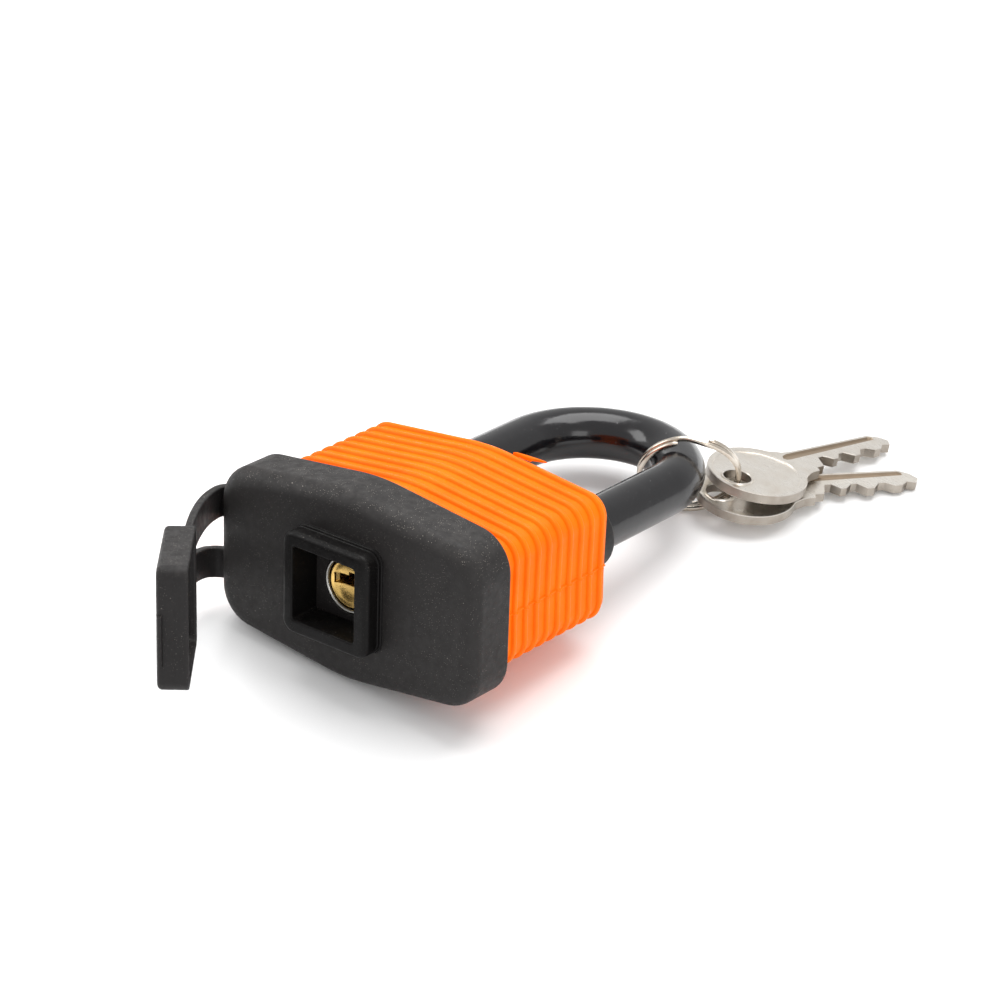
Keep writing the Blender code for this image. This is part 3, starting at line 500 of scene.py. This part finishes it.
def build_cap():
    s = Skin()
    bore0 = s.ring(circle(0, 0, 5.98, 64), 3.9)
    bore1 = s.ring(circle(0, 0, 5.98, 64), 2.7)
    bore2 = s.ring(circle(0, 0, 6.15, 64), 2.5)
    cx, hx = -0.5, -0.8
    port = [s.ring(square(hx, 7.3, 0.5), 2.5), s.ring(square(hx, 7.4, 0.6), 2.3), s.ring(square(hx, 7.45, 0.6), -3.7)]
    for t in arc(4, 0, math.pi / 2):
        port.append(s.ring(square(hx, 7.45 + 0.4 * (1 - math.cos(t)), 0.6 + 0.4 * (1 - math.cos(t))), -3.85 - 0.45 * math.sin(t)))
    boss = []
    for t in arc(8, 0, math.pi / 2):
        ins = 1.1 * (1 - math.sin(t))
        boss.append(s.ring(square(cx, 10.3 - ins, 2.6 - ins), -4.3 + 1.1 * (1 - math.cos(t))))
    for inset, y in ((0.0, -1.45), (0.14, -1.28), (0.14, -1.1), (0.0, -0.95), (0.0, -0.72)):
        boss.append(s.ring(square(cx, 10.3 - inset, 2.6 - inset), y))
    for out, y in ((0.02, -0.4), (0.12, -0.3), (0.22, -0.24), (0.25, -0.14), (0.25, -0.06), (0.32, 0.0)):
        boss.append(s.ring(square(cx, 10.3 + out, 2.6 + out), y))
    outer = []
    rnd = 3.1
    for t in arc(14, 0, math.pi / 2):
        outer.append(s.ring(cap_outline(rnd * (1 - math.sin(t))), rnd * (1 - math.cos(t))))
    for inset, y in ((0.0, 6.5), (0.0, 10.2)):
        outer.append(s.ring(cap_outline(inset), y))
    for t in arc(5, 0, math.pi / 2):
        outer.append(s.ring(cap_outline(0.7 * (1 - math.cos(t))), 10.26 + 0.7 * math.sin(t)))
    sk = lambda o, y: s.ring(hexagon(28.4 + o, 15.72 + o, 12.61 + o, 4.6 + o, 40, 14, 16), y)
    skirt = [sk(0.35, 10.96), sk(0.08, 10.86), sk(0.0, 10.6), sk(0.0, 5.0)]
    seat = [s.ring(hexagon(BODY["a"], BODY["h"], BODY["s"], BODY["r"], 8, 14, 16), y) for y in (5.0, 3.9)]
    s.fill(seat[1], [bore0])
    s.chain([bore0, bore1, bore2])
    s.fill(port[0], [bore2])
    s.mat = 1
    s.chain(port)
    s.fill(boss[0], [port[-1]])
    s.chain(boss)
    s.mat = 0
    s.fill(outer[0], [boss[-1]])
    s.chain(outer)
    s.bridge(outer[-1], skirt[0])
    s.chain(skirt)
    s.bridge(skirt[-1], seat[0])
    s.chain(seat)
    ob = s.make("cap_shell", [RUBBER_CAP, RUBBER_DEEP])
    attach(ob, "lock_body")
    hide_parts("weather_cap")


build_cap()


# ------------------------------------------------------------------ ribbed sleeve
def sleeve_outline(inset):
    """Outline with a fine parting line proud of each flat side."""
    pts = hexagon(28.5 - inset, 15.82 - inset, 12.71 - inset, 4.8 - inset, 40, 12, 14)
    out = []
    n = len(pts)
    for i in range(n):
        a, b = pts[i], pts[(i + 1) % n]
        out.append(a)
        if abs(a[0] - b[0]) < 1e-6 and abs(a[0]) > 20 and a[1] * b[1] < 0:
            sg = 1 if a[0] > 0 else -1
            d = -1 if b[1] < a[1] else 1
            z0 = -1.4
            for dz, o in ((0.9, 0.0), (0.26, 0.0), (0.12, 0.0), (0.05, 0.0), (-0.05, 0.0), (-0.12, 0.0), (-0.26, 0.0), (-0.9, 0.0)):
                lift = 0.0 if abs(dz) > 0.2 else (0.34 if abs(dz) < 0.1 else 0.22)
                out.append((a[0] + sg * (lift - 0.13), z0 + (dz if d < 0 else -dz)))
    return out


def build_sleeve():
    s = Skin()
    y0, y1, n = 11.3, 43.41, 10
    pitch = (y1 - y0) / n
    rows = [(0.75, 5.35), (0.75, 11.0)]
    depth, half = 0.62, 0.62
    for i in range(n):
        c = y0 + (i + 0.46) * pitch
        rows.append((depth + 0.02, c - half - 0.55))
        rows.append((depth, c - half - 0.12))
        for t in arc(8, -1.0, 1.0):
            rows.append((depth * (1 - math.sqrt(max(0.0, 1 - t * t)) ** 0.85), c + half * t))
        rows.append((depth, c + half + 0.12))
    rows += [(depth, y1 - 0.5), (depth + 0.03, y1 - 0.3), (depth + 0.12, y1 - 0.12), (depth + 0.35, y1)]
    rows = [(i + 0.0, y) for i, y in rows]
    rings = [s.ring(sleeve_outline(i), y) for i, y in rows]
    s.chain(rings)
    body = sleeve_outline(2.8)
    in0, in1 = s.ring(body, 5.35), s.ring(body, 41.5)
    s.bridge(rings[0], in0)
    s.bridge(in0, in1)
    ha, hb = [], []
    for x in (-17.4, 17.4):
        p, q, q2 = s.ring(circle(x, 0, 7.8, 56), 41.5), s.ring(circle(x, 0, 7.8, 56), 43.2), s.ring(circle(x, 0, 7.95, 56), 43.41)
        s.chain([p, q, q2])
        ha.append(p)
        hb.append(q2)
    s.fill(in1, ha)
    s.fill(rings[-1], hb)
    ob = s.make("sleeve_ribs", VINYL, angle=38)
    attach(ob, "lock_body")
    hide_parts("rib_sleeve")


build_sleeve()


def build_flash():
    """Thin moulding flash left standing on the sleeve's end edge."""
    s = Skin()
    rows = []
    for k, (x0, x1, y, z, th) in enumerate(((5.3, 9.6, 43.15, 14.75, 0.30), (6.0, 9.9, 43.3, 14.95, 0.28), (8.3, 11.2, 43.55, 15.0, 0.22), (10.6, 12.5, 43.8, 15.0, 0.14), (12.3, 12.9, 43.95, 15.0, 0.06))):
        rows.append(s.loop([(x0, y, z - th), (x1, y - 0.12, z - th - 0.10), (x1, y - 0.12, z + th - 0.10), (x0, y, z + th)]))
    s.chain(rows)
    s.add(tuple(rows[0][::-1]))
    s.add(tuple(rows[-1]))
    ob = s.make("sleeve_flash", VINYL, angle=60)
    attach(ob, "lock_body")


build_flash()


# ------------------------------------------------------------------ shackle, its coating and seals
def shackle_path(y0, bend=72, legs=14):
    pts = [(-17.4, y0 + (75.5 - y0) * k / legs) for k in range(legs)]
    pts += [(17.4 * math.cos(t), 75.5 + 17.4 * math.sin(t)) for t in arc(bend, math.pi, 0)]
    pts += [(17.4, 75.5 - (75.5 - y0) * k / legs) for k in range(1, legs + 1)]
    return [(x, y, 0.0) for x, y in pts]


def build_shackle():
    path = shackle_path(42.0)
    outer = tube_sections(path, 5.28, 48)
    inner = tube_sections(path, 4.8, 48)

    def ease(secs, centre_path, r_new, at):
        p = Vector(centre_path[at])
        return [p + (Vector(q) - p).normalized() * r_new for q in secs[at]]
    v, f = [], []
    rows = [ease(outer, path, 5.0, 0)] + outer + [ease(outer, path, 5.0, -1)] + inner[::-1]
    sweep(v, f, rows, closed=True)
    ob = finish_mesh("shackle_skin", v, f, COAT, LAY, 50)
    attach(ob, "shackle")
    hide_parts("shackle_coat")

    def leg(y_end):
        return [y_end, y_end + 0.3, y_end + 0.9, 26.2, 33.2, 33.21, 37.3, 38.5, 45.0]
    left, right = leg(17.0), leg(25.3)
    full = [(-17.4, y, 0) for y in left] + shackle_path(50.0) + [(17.4, y, 0) for y in reversed(right)]
    secs = tube_sections(full, 4.5, 40)
    for sd, base, ys in ((-1, 0, left), (1, len(full) - len(right), right[::-1])):
        for j, y in enumerate(ys):
            c = sd * 17.4
            if 33.15 <= y <= 37.35:
                secs[base + j] = [Vector((sd * max(abs(p.x), 12.9 + 1.2), p.y, p.z)) for p in secs[base + j]]
            k = {0: 0.82, 1: 0.93}.get(ys.index(y) if sd < 0 else len(ys) - 1 - j)
            if k:
                secs[base + j] = [Vector((c + (p.x - c) * k, p.y, p.z * k)) for p in secs[base + j]]
    v, f = [], []
    sweep(v, f, secs)
    ob = finish_mesh("shackle_core", v, f, STEEL, LAY, 35)
    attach(ob, "shackle")
    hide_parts("shackle_bar")


build_shackle()

for tag, x in (("left", -17.4), ("right", 17.4)):
    prof = [(5.62, 41.55), (7.5, 41.55), (7.5, 46.6), (7.42, 46.75), (7.42, 46.95), (7.5, 47.1), (7.5, 49.75)]
    prof += [(7.5 - 0.85 * (1 - math.cos(t)), 49.8 + 0.8 * math.sin(t)) for t in arc(6, 0.1, math.pi / 2)]
    prof += [(6.1, 50.6), (5.75, 50.45), (5.62, 50.1)]
    ob = lathe("seal_" + tag, prof, x, 0, 56, RUBBER_SEAL)
    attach(ob, "lock_body")
    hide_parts("shackle_seal_" + tag)


# ------------------------------------------------------------------ cylinder nose and plug
def bible_outline(r, half, reach, n=48):
    a0 = math.asin(half / r)
    pts = [(r * math.cos(a0 + (2 * math.pi - 2 * a0) * k / n), r * math.sin(a0 + (2 * math.pi - 2 * a0) * k / n)) for k in range(n + 1)]
    return pts + [(reach, -half), (reach, half)]


def pin_bores(name, x0, x1):
    out = []
    for i, y in enumerate((8.0, 12.0, 16.0, 20.0)):
        v, f = [], []
        sweep(v, f, [[(x, y + 1.6 * math.cos(t * math.pi / 12), 1.6 * math.sin(t * math.pi / 12)) for t in range(24)] for x in (x0, x1)])
        out.append(finish_mesh(name + str(i), v, f, STEEL, LAY))
    return out


def build_cylinder():
    s = Skin()
    nose = [s.ring(circle(0, 0, r, 64), y) for r, y in ((5.0, 24.3), (5.0, 2.55), (5.08, 2.3), (5.22, 2.14), (5.4, 2.1), (5.56, 2.18), (5.64, 2.4), (5.64, 4.7))]
    body0 = s.ring(bible_outline(6.3, 2.6, 11.0), 4.7)
    body1 = s.ring(bible_outline(6.3, 2.6, 11.0), 24.3)
    s.chain(nose)
    s.fill(body0, [nose[-1]])
    s.bridge(body0, body1)
    s.fill(body1, [nose[0]])
    ob = s.make("cylinder_nose", NOSE)
    cut_away(ob, pin_bores("shell_bore", 3.0, 10.4))
    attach(ob, "lock_body")
    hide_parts("cylinder_shell")

    prof = [(0, 3.35), (2.2, 3.3), (3.3, 3.05), (3.9, 2.7), (4.25, 2.45), (4.5, 2.4), (4.66, 2.52), (4.7, 2.75), (4.7, 24.5),
            (2.0, 24.55), (2.0, 26.2), (0, 26.2)]
    ob = lathe("plug_body", prof, 0, 0, 64, BRASS, 30)
    z0 = 0.6
    sec = [(-3.5, 0.55), (-3.5, -1.15), (0.4, -1.15), (0.4, -0.35), (3.3, -0.35), (3.3, 1.15), (-0.9, 1.15), (-0.9, 0.55)]
    wide = [(x * 1.12, z * 1.25) for x, z in sec]
    v, f = [], []
    sweep(v, f, [[(x, 1.2, z + z0) for x, z in wide], [(x, 3.2, z + z0) for x, z in wide], [(x, 3.7, z + z0) for x, z in sec], [(x, 22.2, z + z0) for x, z in sec]])
    c1 = finish_mesh("keyway_cutter", v, f, BRASS, LAY)
    cut_away(ob, [c1] + pin_bores("plug_bore", 0.0, 6.0))
    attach(ob, "plug")
    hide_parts("key_plug")


build_cylinder()


# ------------------------------------------------------------------ keyway flap
HINGE = Vector((-34.39, -2.53, 0.0))
SWING = Matrix.Rotation(math.radians(-50.35), 3, Vector((0.027, 0.074, 1.0)).normalized())


def opened(p):
    return tuple(HINGE + SWING @ (Vector(p) - HINGE))


def build_flap():
    s = Skin()
    x0, x1, z0, z1 = -12.2, 11.08, -11.7, 11.9

    def rect(i, r, tab=0.0):
        """Square outline; the free edge carries the thumb tab."""
        pts = rounded([(x0 + i, z1 - i), (x1 - i, z1 - i), (x1 - i, z0 + i), (x0 + i, z0 + i)], [r] * 4, 9)
        e = x1 - i
        at = 20
        return pts[:at] + [(e, 3.15), (e + tab, 3.0), (e + tab, -6.4), (e, -6.55)] + pts[at:]
    back = []
    for t in arc(8, 0, math.pi / 2):
        i = 1.0 * (1 - math.sin(t))
        back.append(s.ring(rect(i + 0.03, 2.07 - i, 0.78 * min(1.0, t * 1.3)), -6.38 + 0.92 * (1 - math.cos(t))))
    side_rows = [(0.03, -5.4, 0.78), (0.03, -5.3, 0.4), (0.03, -5.22, 0.0), (0.0, -3.4, 0.0), (0.05, -3.3, 0.0), (0.05, -3.18, 0.0), (0.0, -3.08, 0.0), (0.0, -1.6, 0.0)]
    rim = [s.ring(rect(i, 2.1 - i, tab), y) for i, y, tab in side_rows]
    for t in arc(6, 0, math.pi):
        i = 0.4 * (1 - math.cos(t)) if t < math.pi / 2 else 1.0 - 0.4 * (1 + math.cos(t))
        rim.append(s.ring(rect(max(0.0, i), 2.1 - max(0.0, i)), -1.05 + 0.4 * math.sin(t)))
    wall = [s.ring(rect(i, max(0.5, 2.1 - i)), y) for i, y in ((1.0, -1.2), (1.0, -1.6), (1.05, -1.75), (1.1, -4.3), (1.25, -4.8), (1.6, -5.1), (2.1, -5.2))]
    pad = [s.ring(rect(i, r), y) for i, r, y in ((3.6, 1.6, -5.2), (3.8, 1.5, -5.05), (4.0, 1.4, -5.0))]
    s.fill(back[0])
    s.chain(back)
    s.bridge(back[-1], rim[0])
    s.chain(rim)
    s.bridge(rim[-1], wall[0])
    s.chain(wall)
    s.fill(wall[-1], [pad[0]])
    s.chain(pad)
    s.fill(pad[-1])
    s.v = [opened(p) for p in s.v]
    ob = s.make("flap_tray", RUBBER_FLAP)
    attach(ob, "flap")
    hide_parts("keyway_flap")


build_flap()

UPPER_STRAP = ((-31.5, 4.75, 6.35), (-32.75, 4.55, 6.35), (-33.3, 3.4, 6.35), (-33.2, 1.8, 6.4), (-32.2, -1.4, 6.6),
               (-30.2, -5.4, 6.9), (-27.6, -9.6, 7.2), (-24.9, -13.4, 7.5), (-22.6, -16.4, 7.7), (-20.75, -18.75, 7.8))
LOWER_STRAP = ((-31.5, 4.75, -6.6), (-33.0, 4.75, -6.8), (-34.3, 4.3, -6.9), (-35.2, 3.2, -6.8), (-35.6, 1.4, -6.5),
               (-35.0, -2.0, -6.1), (-32.7, -6.8, -5.7), (-29.2, -11.4, -5.3), (-25.2, -15.6, -5.0), (-21.3, -19.3, -4.9))


def smooth_path(pts, per):
    """Catmull-Rom through the points."""
    p = [Vector(q) for q in pts]
    p = [p[0] * 2 - p[1]] + p + [p[-1] * 2 - p[-2]]
    out = []
    for i in range(1, len(p) - 2):
        for k in range(per):
            t = k / per
            out.append(0.5 * ((2 * p[i]) + (p[i + 1] - p[i - 1]) * t + (2 * p[i - 1] - 5 * p[i] + 4 * p[i + 1] - p[i + 2]) * t * t
                              + (3 * p[i] - p[i - 1] - 3 * p[i + 1] + p[i + 2]) * t ** 3))
    out.append(p[-2])
    return out


def build_strap(tag, points):
    path = smooth_path(points, 7)
    secs = []
    n = len(path)
    for i, p in enumerate(path):
        t = (path[min(i + 1, n - 1)] - path[max(i - 1, 0)]).normalized()
        nrm = Vector((-t.y, t.x, 0)).normalized()
        h, w, r = 0.8, 3.1, 0.34
        sec = rounded([(-h, w), (h, w), (h, -w), (-h, -w)], [r] * 4, 3)
        secs.append([p + nrm * a + Vector((0, 0, b)) for a, b in sec])
    v, f = [], []
    sweep(v, f, secs)
    ob = finish_mesh("strap_" + tag, v, f, RUBBER_FLAP, LAY, 50)
    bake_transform(ob)
    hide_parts("flap_strap_" + tag)


build_strap("upper", UPPER_STRAP)
build_strap("lower", LOWER_STRAP)


# ------------------------------------------------------------------ split ring
def build_ring():
    n = Vector((-0.599, 0.754, 0.27)).normalized()
    e = n.cross(Vector((0, 0, 1))).normalized()
    u = e.cross(n).normalized()
    c = Vector((13.93, 89.2, 10.5))
    start, end, jog = 0.32, 4 * math.pi - 0.32, 0.3
    m = 220
    sec2 = rounded([(-0.52, 0.5), (0.52, 0.5), (0.52, -0.5), (-0.52, -0.5)], [0.36] * 4, 3)
    secs = []
    for i in range(m + 1):
        t = start + (end - start) * i / m
        k = math.sin(min(1.0, max(-1.0, (t - 2 * math.pi) / jog)) * math.pi / 2)
        a = t + math.pi / 2
        rad = e * math.cos(a) + u * math.sin(a)
        mid = c + rad * 9.9 + n * (0.56 * k)
        ends = min(i, m - i)
        sc = {0: 0.55, 1: 0.9}.get(ends, 1.0)
        secs.append([mid + rad * (q * sc) + n * (w * sc) for q, w in sec2])
    v, f = [], []
    sweep(v, f, secs)
    ob = finish_mesh("ring_wire", v, f, RING_MAT, GROUND, 50)
    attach(ob, "ring")
    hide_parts("split_ring")


build_ring()

# ------------------------------------------------------------------ keys
BLADE = (
    (17.2, 4.3), (19.4, 4.0), (40.6, 3.3), (43.0, 1.6), (44.0, -0.3), (42.9, -1.7), (41.2, -1.1), (39.6, -2.3),
    (37.9, -2.3), (36.2, -0.9), (34.8, -0.9), (33.2, -2.6), (31.6, -2.6), (30.0, -0.6), (28.7, -0.6), (27.2, -2.0),
    (25.9, -2.0), (24.4, -0.2), (23.0, -0.2), (21.6, -3.4), (19.6, -3.4), (19.2, -4.6), (17.2, -4.7),
)
BOW_C, BOW_R = 5.7, 10.3


def offset(poly, d):
    """Move a closed outline inwards by d along its corner bisectors."""
    area = sum(poly[i][0] * poly[(i + 1) % len(poly)][1] - poly[(i + 1) % len(poly)][0] * poly[i][1] for i in range(len(poly)))
    sg = 1 if area > 0 else -1
    out = []
    n = len(poly)
    for i in range(n):
        p, a, b = Vector(poly[i]), Vector(poly[i - 1]), Vector(poly[(i + 1) % n])
        n1 = Vector((-(p - a).y, (p - a).x)).normalized() * sg
        n2 = Vector((-(b - p).y, (b - p).x)).normalized() * sg
        m = (n1 + n2)
        m = m / max(0.35, m.length_squared) * 2
        if m.length > 1.6:
            m = m.normalized() * 1.6
        q = p + m * d
        out.append((q.x, q.y))
    return out


def key_outline():
    a0 = math.radians(36)
    bow = [(BOW_C + BOW_R * math.cos(t), BOW_R * math.sin(t)) for t in arc(72, a0, 2 * math.pi - a0)]
    x, y = bow[-1]
    # neck fillets join the bow to the blade
    neck_low = [(x + 0.9, y + 0.55), (x + 1.9, y + 0.95), (16.6, -4.85)]
    neck_high = [(x1, -y1) for x1, y1 in [(16.6, -4.45), (x + 1.9, y + 1.05), (x + 0.9, y + 0.6)]]
    return bow + neck_low + [(px, py) for px, py in reversed(BLADE)] + neck_high


def build_key(tag, hole, tip):
    h, t = Vector(hole), Vector(tip)
    x = (t - h).normalized()
    y = Vector((0, 0, 1)).cross(x).normalized()
    z = x.cross(y)
    m = GROUND @ Matrix.Translation(h * MM) @ Matrix((x, y, z)).transposed().to_4x4()
    outline = key_outline()
    th = 1.05
    s = Skin()
    sides = []
    holes = []
    # round recess in the bow, inside a raised border
    rec = circle(5.35, 0, 9.15, 72)
    rec_in = circle(5.35, 0, 8.9, 72)
    rim_out, rim_top, bore, bore_in = (circle(0, 0, r, 48) for r in (3.42, 3.3, 3.0, 2.85))
    gr = [(15.1, 2.1), (15.5, 1.4), (16.4, 1.2), (40.8, 1.2), (41.1, 1.45), (41.1, 2.1), (40.4, 2.6), (17.2, 3.4), (15.7, 3.0)]
    gr_in = offset(gr, 0.25)
    rows = {}
    for sg in (-1, 1):
        edge = s.flat(offset(outline, 0.14), sg * th)
        mid = s.flat(outline, sg * (th - 0.14))
        s.bridge(edge, mid)
        r0, r1 = s.flat(rec, sg * th), s.flat(rec_in, sg * (th - 0.28))
        s.bridge(r0, r1)
        q1, q0 = s.flat(rim_out, sg * (th - 0.28)), s.flat(rim_top, sg * (th - 0.02))
        s.bridge(q1, q0)
        b0, b1 = s.flat(bore, sg * (th - 0.02)), s.flat(bore_in, sg * (th - 0.2))
        s.bridge(b0, b1)
        g0, g1 = s.flat(gr, sg * th), s.flat(gr_in, sg * (th - 0.42))
        s.mat = 1
        s.bridge(g0, g1)
        s.fill(g1, axes=(0, 1))
        s.mat = 0
        s.fill(edge, [r0, g0], axes=(0, 1))
        s.fill(r1, [q1], axes=(0, 1))
        s.fill(q0, [b0], axes=(0, 1))
        rows[sg] = (mid, b1)
    s.mat = 2
    s.bridge(rows[-1][0], rows[1][0])
    s.bridge(rows[-1][1], rows[1][1])
    s.mat = 0
    ob = s.make("key_cut_" + tag, [KEY_MAT, GROOVE_MAT, KEY_EDGE], m, 28)
    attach(ob, "key_" + tag)
    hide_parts("key_" + tag)


build_key("upper", (20.5, 96.6, 8.4), (29.2, 140.2, 1.35))
build_key("lower", (17.93, 94.97, 4.4), (41.0, 131.6, 1.14))

# ------------------------------------------------------------------ springs, baked in place in world space
def build_spring(name, node, p0, p1, radius, wire, turns, u, w):
    p0, p1, u, w = Vector(p0), Vector(p1), Vector(u), Vector(w)
    axis = (p1 - p0).normalized()
    secs = []
    m = int(turns * 24)
    for i in range(m + 1):
        t = 2 * math.pi * i / 24
        rad = u * math.cos(t) + w * math.sin(t)
        c = p0 + (p1 - p0) * (i / m) + rad * radius
        secs.append([c + rad * (wire * math.cos(2 * math.pi * k / 10)) + axis * (wire * math.sin(2 * math.pi * k / 10)) for k in range(10)])
    v, f = [], []
    sweep(v, f, secs)
    ob = finish_mesh(name, v, f, WIRE, LAY, 60)
    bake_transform(ob)
    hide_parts(node)


for i, y in enumerate((8.0, 12.0, 16.0, 20.0)):
    build_spring("stack_coil_%d" % (i + 1), "pin_spring_%d" % (i + 1), (8.05, y, 0), (9.8, y, 0), 0.95, 0.18, 3.0,
                 (0, 1, 0), (0, 0, 1))
build_spring("heel_coil", "shackle_spring", (-17.4, 9.2, 0), (-17.4, 16.25, 0), 3.2, 0.40, 4.0, (1, 0, 0), (0, 0, 1))

# ------------------------------------------------------------------ CAD nodes that stay in view
for name, ob in frame["nodes"].items():
    mat = STEEL
    if name.startswith("key_pin"):
        mat = PIN_BRASS
    elif "spring" in name or name == "retaining_clip":
        mat = WIRE
    ob.data.materials.clear()
    ob.data.materials.append(mat)

# ------------------------------------------------------------------ stage, light, camera
mesh = bpy.data.meshes.new("studio_floor")
mesh.from_pydata([(-4, -4, -0.0001), (4, -4, -0.0001), (4, 4, -0.0001), (-4, 4, -0.0001)], [], [(0, 1, 2, 3)])
floor = bpy.data.objects.new("studio_floor", mesh)
bpy.context.scene.collection.objects.link(floor)
fm = Mat("floor_paper")
fm.set(Roughness=0.6, Specular_IOR_Level=0.2)
fm.b.inputs["Base Color"].default_value = (0.93, 0.93, 0.93, 1)
mesh.materials.append(fm.m)

world = bpy.data.worlds.new("studio")
bpy.context.scene.world = world
world.use_nodes = True
bg = world.node_tree.nodes["Background"]
bg.inputs["Color"].default_value = (1, 1, 1, 1)
bg.inputs["Strength"].default_value = 0.85


def lamp(name, loc, target, size, power, size_y=None, colour=(1, 1, 1)):
    d = bpy.data.lights.new(name, "AREA")
    d.shape = "RECTANGLE"
    d.size, d.size_y = size, size_y or size
    d.energy = power
    d.color = colour
    o = bpy.data.objects.new(name, d)
    bpy.context.scene.collection.objects.link(o)
    o.location = loc
    o.rotation_euler = (Vector(target) - Vector(loc)).to_track_quat("-Z", "Y").to_euler()
    return o


lamp("overhead", (-0.1, 0.25, 0.75), (0, 0, 0), 0.7, 6.0, 0.6)
lamp("key_left", (-0.7, -0.35, 0.45), (0, 0, 0.01), 0.4, 2.6, 0.5)
lamp("fill_right", (0.7, -0.35, 0.35), (0, 0, 0.01), 0.4, 1.6, 0.5)

CAM_ROWS = ((0.77073732, 0.63472057, 0.05562179), (-0.38428196, 0.39344256, 0.83518281), (0.50822373, -0.66508101, 0.54715253))
cam_data = bpy.data.cameras.new("camera")
cam_data.lens = 124.1263
cam_data.sensor_width = 36.0
cam_data.clip_start, cam_data.clip_end = 0.01, 20.0
cam = bpy.data.objects.new("camera", cam_data)
bpy.context.scene.collection.objects.link(cam)
rot = Matrix(CAM_ROWS).transposed().to_4x4()
cam.matrix_world = Matrix.Translation(Vector((336.5717, -394.4422, 380.4780)) * MM + Vector((SHIFT_X, SHIFT_Y, 0)) * MM) @ rot
bpy.context.scene.camera = cam
bpy.context.scene.view_settings.view_transform = "Standard"

bpy.context.view_layer.update()


def seen_bounds():
    dg = bpy.context.evaluated_depsgraph_get()
    lo, hi = Vector((9, 9, 9)), Vector((-9, -9, -9))
    for ob in bpy.data.objects:
        if ob.type != "MESH" or ob.hide_render or ob.name == "studio_floor":
            continue
        e = ob.evaluated_get(dg)
        for v in e.data.vertices:
            w = ob.matrix_world @ v.co
            for i in range(3):
                lo[i], hi[i] = min(lo[i], w[i]), max(hi[i], w[i])
    return [[round(c, 5) for c in lo], [round(c, 5) for c in hi]]


def plain(v):
    return round(float(v), 5) if isinstance(v, (int, float)) else [plain(i) for i in v]


{"cad": plain(cad_bounds), "visual": seen_bounds()}
